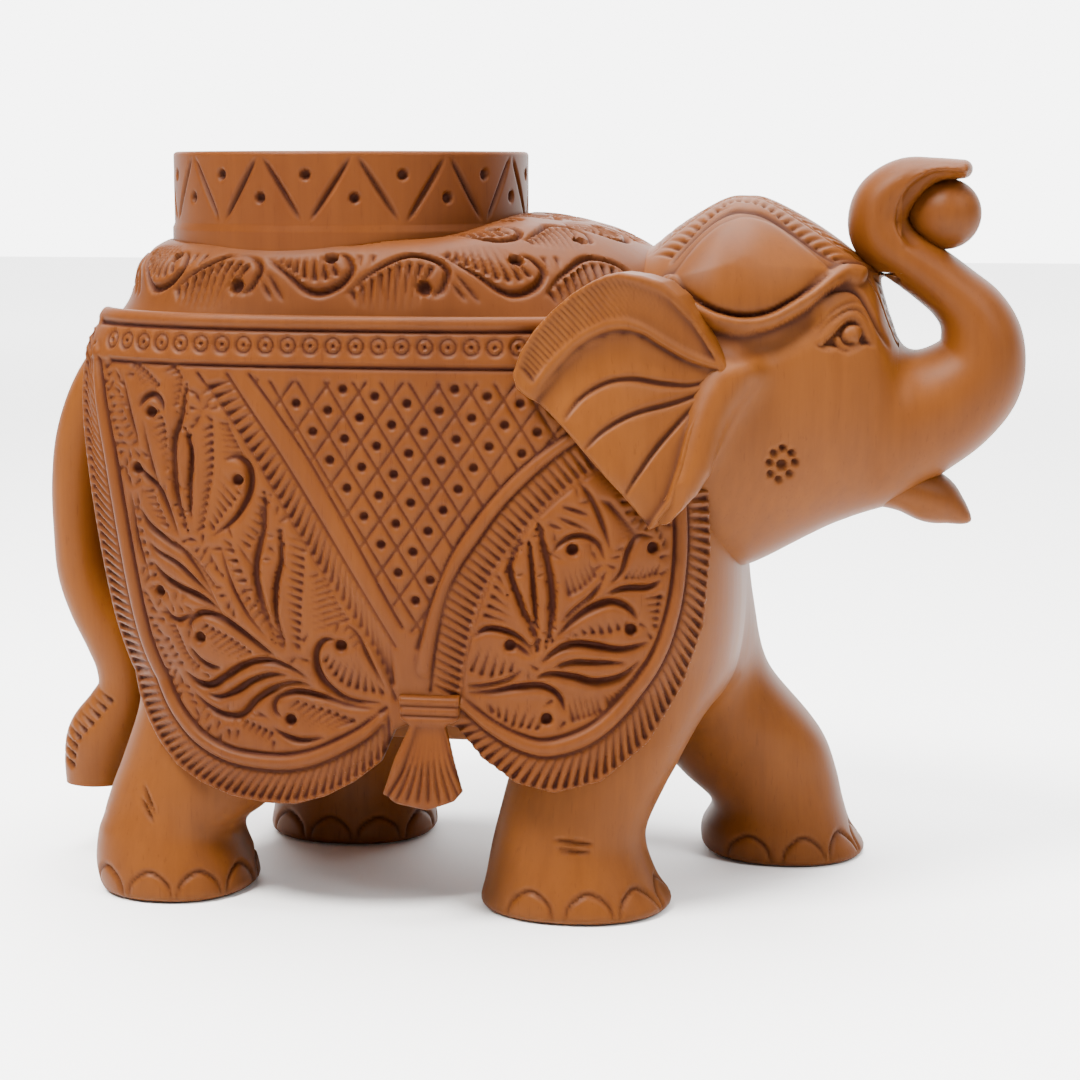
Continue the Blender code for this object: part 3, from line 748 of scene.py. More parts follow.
REAR_GOUGES = [
    (0.7, [(-51, 74.5), (-49.5, 67.5), (-47.5, 61.5), (-45, 56)]),
    (1.3, [(-51.5, 75), (-50.5, 76.5), (-49, 77.2), (-47.6, 76.2), (-47, 74.5)]),
    (1.5, [(-37.5, 68), (-35.5, 68.6), (-33.8, 67.4), (-33.4, 65), (-34.2, 62.3), (-36.3, 59.3),
        (-40, 56.5)]),
    (1.2, [(-52.5, 66.5), (-51, 65.5), (-48.5, 63.5), (-47, 61), (-45, 56.5)]),
    (1.1, [(-52, 60.5), (-50.5, 58), (-47.5, 56), (-43.5, 53.5)]),
    (1, [(-50.5, 55.5), (-49, 54), (-45.5, 52.3), (-42.5, 49.8), (-39.8, 47.3), (-38, 44.5)]),
    (0.9, [(-48, 56.5), (-45, 54.8), (-42.5, 52), (-40.5, 49), (-39, 46.5)]),
    (1.4, [(-50, 52.5), (-48.5, 50.5), (-45.5, 48.8), (-42.5, 47.8), (-39.8, 46.2), (-37.6, 44.2)]),
    (1.1, [(-48.3, 46), (-47.5, 44.2), (-46, 43.8), (-44.5, 44.5), (-43, 45.3)]),
    (1.4, [(-43.5, 42), (-44.2, 43.6), (-42, 45.2), (-39, 44.7), (-36, 43), (-32, 40.2), (-30, 39)]),
    (1.1, [(-44.5, 40), (-43.2, 38), (-41.3, 37), (-39, 37)]),
    (1.5, [(-46, 36), (-44, 34.3), (-41.5, 34), (-38.5, 35.8), (-36, 37.4), (-32.5, 38.6), (-29, 38),
        (-25, 36)]),
    (1.3, [(-43, 33), (-40.3, 32.4), (-37.5, 33.4), (-34.5, 35.2), (-31.5, 36.4), (-28, 36.6)]),
    (1.4, [(-45, 33), (-42.5, 31), (-39.5, 29.8), (-36.5, 30), (-33.8, 32.6), (-30.5, 34.5),
        (-27.5, 35.4), (-24.5, 35)]),
    (1.4, [(-20.5, 42.2), (-22.8, 42.2), (-24.2, 40.2), (-24, 37.2), (-22.2, 34.6), (-19.3, 33.2),
        (-14, 33)]),
    (1.2, [(-29, 29.6), (-31, 31), (-30.6, 33), (-27.5, 34), (-23.5, 33.5), (-19.5, 32.4), (-15, 32)]),
    (1.1, [(-31.5, 28.5), (-29, 27.2), (-26.5, 26.8), (-23, 27.6)]),
    (0.9, [(-20, 45), (-18, 43.3), (-16, 39), (-13.2, 33.5)]),
    (0.9, [(-36, 56.5), (-33, 51.5), (-31.5, 46), (-28.6, 39.8)]),
    (0.8, [(-38.5, 56.5), (-37, 50.5), (-34.5, 45.5), (-31, 41.5)]),
    (0.8, [(-55, 80.5), (-53, 73.5), (-51.5, 69.5)]),
    (0.8, [(-53.5, 63), (-52.8, 56), (-50.5, 49)]),
]
FRONT_GOUGES = [
    (1.3, [(-1.3, 43), (1, 44.6), (4, 44.2), (6.5, 42.6), (8, 40.5)]),
    (1.2, [(3.5, 42.6), (5.5, 42), (7.5, 40.5)]),
    (1.1, [(-2.5, 36), (0.5, 36), (4, 37), (6.2, 38.8)]),
    (1.4, [(-2.5, 35), (1.5, 35.1), (5.5, 35.9), (9, 36), (11.2, 34.5), (12.2, 32)]),
    (1.6, [(8.5, 39.5), (11.5, 41.8), (14, 42.4), (16.5, 42.1), (20.5, 41.5), (25, 42.6)]),
    (1.2, [(9.5, 38.4), (13, 39.6), (16.5, 39.6), (21.5, 39.5)]),
    (1.5, [(7, 37), (10, 37.9), (13.5, 37.4), (16.5, 36.6), (20.5, 37.4), (23.5, 40)]),
    (1.2, [(10, 55), (12, 57.4), (14.5, 58.2), (17, 57), (18, 54.5)]),
    (1.1, [(11.5, 45.5), (13.5, 47.3), (16, 49.4), (18, 52)]),
    (1.5, [(10.5, 43), (13.5, 46), (16, 47.7), (19, 48.6), (21.5, 47.6), (23, 45.5)]),
    (0.8, [(11.5, 62.5), (16, 61)]),
    (0.8, [(11, 61), (16.5, 58.5)]),
    (0.7, [(9.7, 60), (12.2, 59)]),
    (1, [(13, 67.5), (16, 63.5), (17.6, 60), (19, 55.5)]),
    (1.1, [(18.5, 51), (20.5, 53), (21.5, 56), (23, 58), (26, 57.5)]),
    (1.3, [(17.5, 49.5), (21, 50.5), (24.5, 50.5), (26.6, 51.6)]),
]
REAR_CHANNELS = [
    (1.3, [(-43.2, 79.5), (-44, 74.5), (-45.5, 70.5), (-45.6, 65.5), (-45, 61.5), (-43.5, 57)]),
    (0.9, [(-43.6, 73), (-42.6, 69), (-43, 64.5), (-43, 58.5)]),
    (1.4, [(-31, 64.5), (-31.6, 58.5), (-33, 52.5), (-32.2, 46.5), (-29.5, 40.5)]),
    (1, [(-29.2, 59), (-29, 54), (-30, 49.5), (-30, 44.5), (-28.5, 40.5)]),
]
FRONT_CHANNELS = [
    (1.1, [(6.5, 58), (5, 55.5), (4.5, 53), (5.4, 50), (6.5, 47), (8, 44), (8.6, 40.8)]),
    (0.9, [(7.2, 58), (7.6, 53.5), (8, 48), (8.4, 44)]),
    (1.4, [(8.5, 60.5), (9.1, 57.5), (10, 53.5), (10.5, 49.5), (10.3, 45.5), (9.5, 41.5)]),
]
# Rows of chips: how many, the line of their tails, the line of their heads.
REAR_CHIPS = [
    (7, [(-53, 80.2), (-52.5, 78.4), (-51, 76.8)], [(-52.5, 81.6), (-50.2, 80.4), (-48, 78.6)]),
    (9, [(-50.2, 74), (-49.4, 71), (-47.9, 68), (-47.2, 65.5)], [(-48, 74.8), (-47, 72.4), (-46.8, 69.4),
        (-46.6, 66.6)]),
    (7, [(-47.5, 80.2), (-46.2, 79.2), (-46, 77.5), (-45.8, 75.4)], [(-45.4, 81.2), (-44.2, 80),
        (-44.3, 78), (-44.8, 76)]),
    (14, [(-41.2, 72), (-41, 66.5), (-42, 60.5), (-42.6, 57)], [(-39.3, 72.8), (-39.3, 67.2),
        (-40.4, 61.5), (-41, 58.2)]),
    (6, [(-38.7, 73.5), (-38.6, 69.2)], [(-36.8, 73.2), (-34.8, 69.2)]),
    (7, [(-37.6, 66.2), (-38.9, 64.4), (-39.3, 62), (-40.2, 60)], [(-35.2, 63.2), (-36.2, 61.8),
        (-37.6, 60.4), (-39.4, 58)]),
    (6, [(-51.5, 62.8), (-50.5, 60.5), (-49.4, 58.6)], [(-49.4, 63), (-48.4, 60.7), (-47, 58)]),
    (12, [(-47.2, 54.8), (-43.7, 52.6), (-40.6, 48.6)], [(-45.8, 55.5), (-42.6, 53.2), (-39.8, 49.8)]),
    (8, [(-43, 42), (-41.4, 39.2), (-38.4, 38)], [(-41.2, 43.4), (-37.2, 41.6), (-34.4, 39.8)]),
    (9, [(-48.5, 42.8), (-47.2, 39.8), (-45.8, 37.6), (-44.6, 36)], [(-46.9, 42.8), (-46, 40.6),
        (-45, 38.4), (-43.4, 36.8)]),
    (9, [(-40.5, 28.6), (-36.5, 27.4), (-32.6, 26)], [(-39.6, 29.8), (-35.4, 29), (-31.6, 27.6)]),
    (14, [(-28.2, 57.5), (-28.6, 49.5), (-28, 42)], [(-25.4, 56.4), (-26.2, 48.6), (-26.8, 41)]),
    (8, [(-25, 50.2), (-25.4, 46.8), (-24.6, 43.6)], [(-22.4, 51.2), (-20.6, 47.4), (-19.2, 45.4)]),
    (9, [(-21.6, 40.6), (-19.4, 39.8), (-17, 39), (-15.8, 37)], [(-22.9, 39), (-20.8, 36.2), (-18.2, 35),
        (-14.6, 34.4)]),
    (7, [(-32.6, 63.4), (-34, 59.4), (-35.4, 56.8)], [(-31.4, 62.4), (-32.4, 58.2), (-33.8, 55.6)]),
    (8, [(-29.2, 31), (-27, 28.8), (-23.6, 28.2)], [(-27.4, 32.6), (-22.6, 31.4), (-19, 30.2)]),
    (6, [(-36.2, 47.6), (-34.4, 44.4), (-31.8, 42.4)], [(-34.8, 49), (-32.9, 46.2), (-31, 43.8)]),
    (7, [(-53.6, 60.4), (-52.6, 54.6), (-51, 49.8)], [(-52.4, 60.2), (-51.4, 54.8), (-49.8, 50.4)]),
    (5, [(-38.4, 55.2), (-37.4, 51.8), (-36, 48.8)], [(-36.4, 54.8), (-35.2, 51.6), (-33.8, 49.2)]),
]
FRONT_CHIPS = [
    (5, [(4.4, 50), (4.8, 47.4), (5.6, 45.2)], [(2.8, 52.2), (1.9, 49.2), (0.9, 46.6)]),
    (5, [(0.4, 42.2), (2.5, 42), (5, 40.4)], [(-1.2, 38.4), (1.4, 37.6), (4.4, 38.4)]),
    (7, [(0.8, 34), (5.5, 33.6), (10, 32.8)], [(1.6, 32.2), (4.4, 30.4), (8, 29.8)]),
    (6, [(12.2, 35.4), (14, 35.6), (16.4, 35.2)], [(13.3, 31), (15, 31.4), (17.2, 32.2)]),
    (6, [(12, 53.6), (13.6, 53.8), (15.5, 55)], [(13, 49.8), (14.6, 50.6), (16.6, 52.4)]),
    (8, [(12, 43.8), (14.5, 45.2), (17.5, 45.9), (21, 46.2)], [(12.8, 43.2), (15, 44), (18.4, 44.2),
        (21.2, 45)]),
    (10, [(16.6, 63.6), (18.4, 61.2), (19.6, 57.4)], [(18.7, 62.7), (20.9, 60.2), (22.4, 58.4)]),
    (6, [(22.6, 54.4), (24.5, 54.4), (26.4, 54.4)], [(21.2, 52), (23.4, 51.8), (25.6, 52.4)]),
    (5, [(22.7, 48.9), (23.6, 47.4), (24.8, 45.2)], [(26.4, 49), (26, 47), (25.6, 44.8)]),
    (11, [(17.6, 35.2), (20, 36), (23, 38.4)], [(18.6, 33.2), (21.4, 35.8), (24, 39.2)]),
    (7, [(14.8, 66.6), (16.8, 65), (18.4, 63.6)], [(17.2, 67.6), (19.4, 66.2), (21.4, 64.4)]),
]
REAR_HOLES = [(-49.4, 74.6), (-35.4, 65.2), (-52.2, 66.2), (-49.2, 48), (-42.6, 41.4), (-20.4, 41.4),
    (-28.6, 29.8)]
FRONT_HOLES = [(4.4, 42.2), (9.4, 31.2), (13.4, 56.2), (25.2, 56.2), (21.9, 44.4)]


def offset_band(sheet, outer, inner, count, share_out, share_in, slant, width=1, depth=0.75, margin=0):
    """Slanted chips between two lines, with their heads near the outer one."""
    a = at_shares(outer, count + 2, margin)
    b = at_shares(inner, count + 2, margin)
    step = max(1, int(round(abs(slant))))
    for k in range(count):
        j = min(count + 1, max(0, k + (step if slant > 0 else -step)))
        head = a[k] + (b[k] - a[k]) * share_out
        tail = a[j] + (b[j] - a[j]) * share_in
        sheet.chip(tail, head, width, depth, 0.32)


def lattice(sheet):
    """Crossed grooves with a drilled dot in each diamond, inside the V."""
    panel = V_LEFT_EDGE + [(-9.6, 43)] + V_RIGHT_EDGE + [(14, 80), (-31, 80)]
    inside = sheet.inside(panel)
    right, left = np.array([2.46, -4]), np.array([-2.2, -3.05])
    start = np.array(LATTICE_START)
    u, v = sheet.grid()
    for along, across in ((right, left), (left, right)):
        normal = np.array([-along[1], along[0]]) / np.hypot(*along)
        pitch = abs(across @ normal)
        away = ((u - start[0]) * normal[0] + (v - start[1]) * normal[1]) / pitch
        away = np.abs(away - np.floor(away) - 0.5) * pitch
        depth = 0.62 * (1 - np.clip(away / 0.34, 0, 1) ** 1.3)
        depth = depth * smoothstep(-0.1, -0.5, inside)
        np.maximum(sheet.depth, depth, out=sheet.depth)
    for i in range(-16, 17):
        for j in range(-16, 17):
            spot = start + right * i + left * j
            if spot[1] < 79 and sheet.sample(inside, *np.array([spot]).T)[0] < -1.1:
                sheet.dot(spot, 0.66, 0.9)


def hatch_plain_parts(sheet, field, pitch=1.3):
    """Small chips wherever a field is still plain, each pointing at the nearest cuts."""
    inside = sheet.inside(field)
    cuts = blurred(np.minimum(sheet.depth, 0.5), 12)
    slope_u, slope_v = np.gradient(cuts)
    taken = blurred((sheet.depth > 0.05).astype(float), 3)
    for row, v in enumerate(np.arange(sheet.bottom, sheet.v[-1], 0.87 * pitch)):
        for u in np.arange(sheet.left + 0.5 * pitch * (row % 2), sheet.u[-1], pitch):
            i = min(sheet.cells(u - sheet.left), len(sheet.u) - 1)
            j = min(sheet.cells(v - sheet.bottom), len(sheet.v) - 1)
            if inside[i, j] > -0.9 or taken[i, j] > 0.03:
                continue
            toward = np.array([slope_u[i, j], slope_v[i, j]])
            toward = toward / (np.hypot(*toward) + 1e-9)
            spot = np.array([u, v])
            sheet.chip(spot - toward * 0.85, spot + toward * 0.75, 0.9, 0.7, 0.2)


def foliage(sheet, gouges, channels, chips, holes):
    for width, path in gouges:
        sheet.gouge(path, width * 1.25, width * 1)
    for width, path in channels:
        sheet.channel(path, width * 1.3, 1.25)
    for count, tails, heads in chips:
        sheet.chips(count, tails, heads, 1.1, 0.85)
    for spot in holes:
        sheet.dot(spot, 0.85, 1.3)


def punched_border(sheet):
    """The band along the cloth's top: a bead, a groove and a row of ring punches."""
    _, v = sheet.grid()
    sheet.level += 0.45 * smoothstep(81.6, 82, v)
    sheet.level += 0.5 * np.sqrt(np.clip(1 - (v - 87.9) ** 2, 0, 1))
    sheet.line([(-62.5, 86.75), (28, 86.75)], 0.8, 0.7)
    sheet.line([(-57.5, 81.75), (12, 81.75)], 0.9, 0.7)
    for k in range(26):
        centre = (-57.5 + RING_PITCH * k, 84.6)
        sheet.ring(centre, 1.12, 0.7, 0.6)
        sheet.dot(centre, 0.36, 0.7)


def cloth_sheet():
    sheet = Relief(-73, 42, 12, 94)
    # The hem: a rope band outside, a plain ridge inside it, then a thin groove.
    for outer, inner, count in ((REAR_HEM, REAR_INNER, 76), (FRONT_HEM, FRONT_INNER, 50)):
        sheet.line(inner, 0.8, 0.7)
        a, b = at_shares(outer, 160), at_shares(inner, 160)
        sheet.line((a + (b - a) * 0.66)[::4], 0.8, 0.65)
        bead(sheet, (a + (b - a) * 0.84)[::4], 2, 0.6)
        offset_band(sheet, outer, inner, count, 0.12, 0.66, 2, 1.25, 1.05, 0.4)
    for path in (V_LEFT_OUT, V_LEFT_IN, V_LEFT_EDGE, V_RIGHT_EDGE, V_RIGHT_IN, V_RIGHT_OUT):
        sheet.line(path, 0.7, 0.65)
    bead(sheet, (at_shares(V_RIGHT_EDGE, 30) + at_shares(V_RIGHT_IN, 30)) / 2, 2, 0.5)
    rungs = 33
    outer, inner = at_shares(V_LEFT_OUT, rungs + 2), at_shares(V_LEFT_IN, rungs + 2)
    for a, b in zip(outer[1:-1], inner[1:-1]):
        sheet.chip(a + (b - a) * 0.90, a + (b - a) * 0.22 + np.array([0, -0.8]), 1.35, 1.05, 0.34)
    upper, lower = at_shares(V_RIGHT_IN, rungs + 2), at_shares(V_RIGHT_OUT, rungs + 2)
    for k in range(1, rungs + 1):
        a, b = upper[k], lower[k - 1]
        sheet.chip(a + (b - a) * 0.10, a + (b - a) * 0.84, 1.35, 1.05, 0.34)
    lattice(sheet)
    foliage(sheet, REAR_GOUGES, REAR_CHANNELS, REAR_CHIPS, REAR_HOLES)
    foliage(sheet, FRONT_GOUGES, FRONT_CHANNELS, FRONT_CHIPS, FRONT_HOLES)
    hatch_plain_parts(sheet, REAR_INNER + V_LEFT_OUT[::-1])
    hatch_plain_parts(sheet, FRONT_INNER + V_RIGHT_OUT[::-1])
    punched_border(sheet)
    return sheet


def make_cloth(name, side, sheet, material):
    wall = Wall(side, CLOTH_OUT)
    obj = slab(name, sheet, CLOTH_OUTLINE, 2, 0.34, wall.at, material, 0.7)
    declare(obj, name)


# ---- collar ----
COLLAR_ROUND = 0.6


def collar_sheet():
    around = 2 * math.pi * COLLAR_R
    sheet = Relief(-3, around + 3, DECK_Z - 2, COLLAR_TOP + 1)
    periods = 12
    pitch = around / periods
    low, high = DECK_Z + 1.9, COLLAR_TOP - 0.8
    for k in range(-1, periods + 1):
        left = k * pitch
        for head, foot in ((0.47, 0.04), (0.53, 0.96)):
            sheet.gouge([(left + pitch * head, high), (left + pitch * foot, low)], 1.15, 0.8, 0.45)
        sheet.dot((left + pitch * 0.5, low + 3.4), 0.72, 0.9)
        sheet.dot((left, high - 2.6), 0.72, 0.9)
    return sheet


def make_collar(material):
    """A turned ring whose outside is carved. Its profile runs up the outside, over and down the bore."""
    sheet = collar_sheet()
    columns = 760
    foot = DECK_Z - 3
    outer = [(COLLAR_R + 0.3, z) for z in np.arange(foot, DECK_Z + 1, 0.4)]
    outer += [(COLLAR_R, z) for z in np.arange(DECK_Z + 1.3, COLLAR_TOP - 0.5, 0.26)]
    low = COLLAR_TOP - COLLAR_ROUND
    top = [(COLLAR_R + COLLAR_ROUND * (math.cos(a) - 1), low + COLLAR_ROUND * math.sin(a))
           for a in (0.3, 0.7, 1.1, 1.5)]
    top += [(r, COLLAR_TOP) for r in np.linspace(COLLAR_R - 1.4, CUP_R + 1.4, 6)]
    inner = [(CUP_R + COLLAR_ROUND * (1 - math.sin(a)), low + COLLAR_ROUND * math.cos(a))
             for a in (0.1, 0.5, 1, 1.5)]
    inner += [(CUP_R, z) for z in np.linspace(COLLAR_TOP - 1.4, foot, 14)]
    profile = np.array(outer + top + inner)
    rows = len(profile)
    a = np.linspace(0, 2 * math.pi, columns, endpoint=False)[:, None]
    r, z = (np.tile(profile[:, k], (columns, 1)) for k in (0, 1))
    outside = np.arange(rows) < len(outer)
    u, v = np.broadcast_arrays(a * COLLAR_R, z[:, outside])
    # The carving's heights, and the painted shade of its cuts.
    carved, shade = np.zeros_like(r), np.zeros_like(r)
    for found, field in zip((carved, shade), sheet_fields(sheet)):
        found[:, outside] = sheet.sample(field, u, v)
    r = r + carved
    turn = a - math.pi / 2
    points = np.stack([COLLAR_X + r * np.cos(turn), r * np.sin(turn), z], 2).reshape(-1, 3)
    k, j = np.arange(columns)[:, None], np.arange(rows)[None, :]
    k2, j2 = (k + 1) % columns, (j + 1) % rows
    faces = np.stack([k * rows + j, k2 * rows + j, k2 * rows + j2, k * rows + j2], 2).reshape(-1, 4)
    obj = mesh_piece("collar_carved", points, faces, material, shade.ravel())
    declare(obj, "collar")


# ---- body and legs ----
def make_body(material, carved_material):
    low, high = (-70, -36, 20), (46, 36, TORSO_CUT_Z + 1.5)
    obj = solid("torso_lower", hollowed_body, low, high, 0.62, material,
                [((0, 0, TORSO_CUT_Z), (0, 0, 1)), ((0, 0, BELLY_Z + 0.5), (0, 0, -1))])
    declare(obj, "torso")
    low, high = (-64, -33.5, TORSO_CUT_Z - 1.5), (28, 33.5, 106)
    obj = solid("torso_shoulders", hollowed_body, low, high, 0.36, carved_material,
                [((0, 0, TORSO_CUT_Z), (0, 0, -1))], shoulder_relief())
    declare(obj, "torso")
    for name, rows in LEGS.items():
        x, y = (rows[1][1] + rows[1][2]) / 2, rows[1][3]
        low, high = (x - 26, y - 16, -1.5), (x + 26, y + 16, BELLY_Z + 2)
        obj = solid(name + "_carved", leg_with_body(LEG_SHAPES[name]), low, high, 0.42, material,
                    [((0, 0, BELLY_Z + 0.5), (0, 0, 1))], foot_relief(x, y, name.startswith("leg_hind")))
        declare(obj, name)


def leg_with_body(leg):
    def shape(x, y, z):
        return smooth_union(barrel_shape(x, y, z), leg(x, y, z), 4)
    return shape


def foot_relief(foot_x, foot_y, hind):
    """Toenails round the front of the foot, drawn on the sole's outline unrolled."""
    radius = 13
    sheet = Relief(-45, 45, -1, 30)
    toes = (22, 59, 95, 132) if hind else (0, 36, 72, 113)
    for angle in toes + tuple(-a for a in toes if a):
        middle = math.radians(angle) * radius
        arc = [(middle - 3.8, 0.3), (middle - 2.9, 3), (middle, 4.6), (middle + 2.9, 3),
            (middle + 3.8, 0.3)]
        sheet.gouge(arc, 0.95, 0.6, 0.35)
    outward = -1 if foot_y < 0 else 1
    slits = ((22.8, 12.2, 14.6, 11.6), (22.4, 10.8, 15.2, 10.4))
    if hind:
        slits = ((25, 17.4, 21, 12.8), (25.1, 15.4, 21.3, 11.8))
    for u0, v0, u1, v1 in slits:
        sheet.gouge([(outward * u0, v0), (outward * u1, v1)], 0.9, 0.8)

    def where(points, normals):
        x, y, z = points.T
        keep = smoothstep(0.9, 0.6, np.abs(normals[:, 2])) * (z < 20)
        return np.arctan2(y - foot_y, x - foot_x) * radius, z, keep, keep * 0.8
    return carving(sheet, where)


def vine_unit(sheet, left, flip, bottom, rise):
    """One half-wave of the vine: an arching stem, a hole at its curl and a hatched leaf under it."""
    def place(points):
        p = np.array(points, float) * (1, rise)
        if flip:
            return np.stack([left + p[:, 0], bottom + 8.6 * rise - p[:, 1]], 1)
        return np.stack([left + p[:, 0], bottom + p[:, 1]], 1)

    sheet.gouge(place([(0, 1.2), (4.8, 4.6), (8.3, 6.7), (10.8, 7), (13.6, 6), (14.9, 4.2), (14.1, 2.2),
        (12.6, 1.2)]),
                1.35, 1.1, 0.4)
    sheet.dot(place([(11.5, 2.2)])[0], 1, 1.3)
    sheet.chips(9, place([(1.8, 0.2), (5.2, -0.4), (8.8, -0.2), (10.4, 0.4)]),
                place([(1.2, 1.6), (4.6, 3.4), (7.8, 5.2), (10.6, 5.4), (12.6, 4.8)]), 1.05, 0.85)


def shoulder_sheet():
    sheet = Relief(-96, 70, 86, 132)
    pitch = 14
    for k in range(-6, 5):
        left = -48.2 + pitch * k
        vine_unit(sheet, left, k % 2 == 1, 89.9, 1.28)
        if k % 2 == 0:
            corner = left + 15.2
            sheet.gouge([(corner, 95.2), (corner - 1.2, 91.6)], 0.8, 0.6)
            sheet.gouge([(corner + 0.8, 95), (corner + 4, 90.6)], 0.9, 0.6)
            sheet.gouge([(corner + 0.2, 93.6), (corner + 2.2, 90.8)], 0.8, 0.6)
        else:
            corner = left + 14.6
            sheet.chips(3, [(corner, 95), (corner + 3, 95.6)], [(corner - 0.8, 98.4),
                (corner + 3.4, 98.6)], 0.8, 0.55)
    for k in range(6):
        vine_unit(sheet, -6 + pitch * k, k % 2 == 0, 101.6, 1.1)
        vine_unit(sheet, 2 + pitch * k, k % 2 == 1, 111.4, 1.1)
        vine_unit(sheet, 6 + pitch * k, k % 2 == 0, 121.2, 1.1)
    return sheet


def shoulder_relief():
    """The vine round the shoulders. Its sheet is the barrel's wall unrolled, then the deck inwards."""
    wall = Wall(-1, 0)
    rump, chest, half, roundness = table(TORSO_SECTIONS, SHOULDER_Z)
    middle, reach = (rump + chest) / 2, (chest - rump) / 2

    def rounded(x, y):
        """Where the plan's superellipse is a circle."""
        across = (np.abs(y) / half) ** (roundness / 2)
        return across, np.sign(x - middle) * (np.abs(x - middle) / reach) ** (roundness / 2)
    line = wall.points[int(np.searchsorted(wall.v, SHOULDER_Z))]
    line_angle = np.arctan2(*rounded(line[:, 0], line[:, 1]))

    def where(points, normals):
        x, y, z = points.T
        across, along = rounded(x, y)
        u = np.interp(-np.arctan2(across, along), -line_angle, wall.u)
        rho = np.hypot(across, along) ** (2 / roundness)
        v = z + np.maximum(0, 1 - rho) * 30
        off_collar = np.hypot(x - COLLAR_X, y) - COLLAR_R - 0.5
        keep = smoothstep(0.4, 1.4, off_collar) * smoothstep(-0.1, 0.25, normals[:, 2] + 0.3)
        keep = keep * smoothstep(88.9, 89.6, z)
        return u, v, keep, keep
    return carving(shoulder_sheet(), where)


# ---- head, trunk, lip, ball ----
# Where the head's piece ends and the trunk's begins, up to the height where the curl comes past it.
FACE_CUT_X = 57.5
CURL_Z = 94.3
HEAD_STEP = 0.34
BAND_LINE = [
    (24.9, 95.7), (27.5, 99), (30.2, 101.7), (32.9, 103.2), (35.3, 103.4), (38.2, 102.6), (42.1, 100.2),
    (45.8, 97.5), (48.4, 95.8),
]
LENS_TOP = [
    (25.4, 94), (27.8, 97.4), (29.8, 99.7), (32.2, 101.5), (35.3, 102.4), (39.1, 101.4), (42.2, 99.3),
    (45.2, 97), (47.8, 94.6),
]
LENS_LOW = [(25.4, 93.4), (29.2, 90.9), (32.2, 89.5), (35.7, 88.7), (39.2, 89.1), (42, 90.5),
    (44.8, 92.2), (47.6, 94.4)]
RIDGE = [
    (25.2, 93), (26.6, 91.4), (28.9, 89.7), (31.8, 88.2), (35.4, 87.4), (38.9, 87.8), (42.1, 89.2),
    (44.8, 91), (47.2, 93), (49.4, 94.3), (51.4, 94),
]
BROW = [(44.6, 88.9), (46, 90.6), (47.8, 91.9), (50, 92.2), (51.8, 91.4), (53.3, 89.2), (54.7, 86.4),
    (56.4, 83.4)]

# The lower edge of the crown's carved band: x, and the distance round the head from its top.
CROWN_EDGE = [
    (24.9, 16.2), (27.5, 13.2), (30.2, 9.9), (33, 7), (35, 7), (38.2, 8), (42.1, 10.4), (45.8, 12),
    (49.5, 12),
]


def bead(sheet, path, width, height):
    """A raised half-round bead along a path."""
    lift = Relief(sheet.u[0], sheet.u[-1] + 0.05, sheet.v[0], sheet.v[-1] + 0.05)
    lift.line(path, width, height)
    shape = lift.depth[: sheet.level.shape[0], : sheet.level.shape[1]]
    sheet.level[: shape.shape[0], : shape.shape[1]] += np.sqrt(shape / height) * height


def head_sheet():
    sheet = Relief(10, 66, 46, 110)
    lens = LENS_TOP + LENS_LOW[::-1]
    away = -sheet.inside(curve(lens + lens[:1], 5)[:-1])
    sheet.level += 1.7 * np.sqrt(np.clip(away / 6, 0, 1))
    # The hollow under the ridge, then the ridge itself.
    under = Relief(10, 66, 46, 110)
    under.line([(27, 88.6), (30.5, 85.6), (34.1, 84.2), (37.2, 84.2), (41.2, 85.4), (44.6, 87.8)], 5.6, 1.5)
    sheet.level -= blurred(under.depth, 7)
    bead(sheet, RIDGE, 2.5, 1.5)
    sheet.gouge(LENS_LOW, 0.9, 0.9, 0.25)
    sheet.gouge(BAND_LINE, 0.8, 0.6, 0.25)
    sheet.gouge([(25.6, 97.6), (28.2, 100.9), (30.4, 102.9), (32.6, 104)], 0.5, 0.4, 0.3)
    sheet.gouge(BROW, 0.8, 0.7, 0.35)
    eye(sheet)
    # The rosette on the cheek: one hole with eight round it.
    sheet.dot((41.6, 67.2), 0.72, 0.9)
    petals = [
        (41.7, 69.7), (42.9, 68.9), (43.4, 67.5), (42.6, 65.8), (41.1, 65), (40, 65.9), (39.9, 67.6),
        (40.5, 69),
    ]
    for spot in petals:
        sheet.dot(spot, 0.5, 0.75)
    return sheet


def eye(sheet):
    """An almond eye under two lid lines, with a round ball and a beaded lower lid."""
    left, right = (46.6, 84.2), (54.4, 83.9)
    upper = [left, (48.2, 85.8), (49.5, 87.2), (50.9, 88.1), (52.4, 87.3), (53.3, 85.5), right]
    lower = [left, (48.6, 84), (50.4, 83.2), (51.8, 83.5), (53, 84.2), right]
    outline = curve(upper, 5).tolist() + curve(lower, 5)[::-1][1:-1].tolist()
    away = -sheet.inside(outline)
    sheet.level -= 1.1 * smoothstep(-0.1, 0.5, away)
    bead(sheet, [(49.3, 85.3), (49.9, 84.3), (51.1, 83.9), (52.2, 84.5)], 1.1, 0.8)
    u, v = sheet.grid()
    ball = np.clip(1 - ((u - 51.3) ** 2 + (v - 86) ** 2) / 1.45**2, 0, 1)
    sheet.level += 1.5 * np.sqrt(ball)
    sheet.gouge([(46.2, 85.6), (48.3, 88), (50.9, 89.4), (52.6, 88.7), (53.6, 87)], 0.55, 0.5, 0.35)
    sheet.gouge([(46, 86.6), (48.2, 89.1), (50.9, 90.4), (52.8, 89.7)], 0.5, 0.4, 0.35)
    sheet.gouge([(46, 84.6), (46.9, 84.1), (48.5, 83.7)], 0.5, 0.5, 0.35)


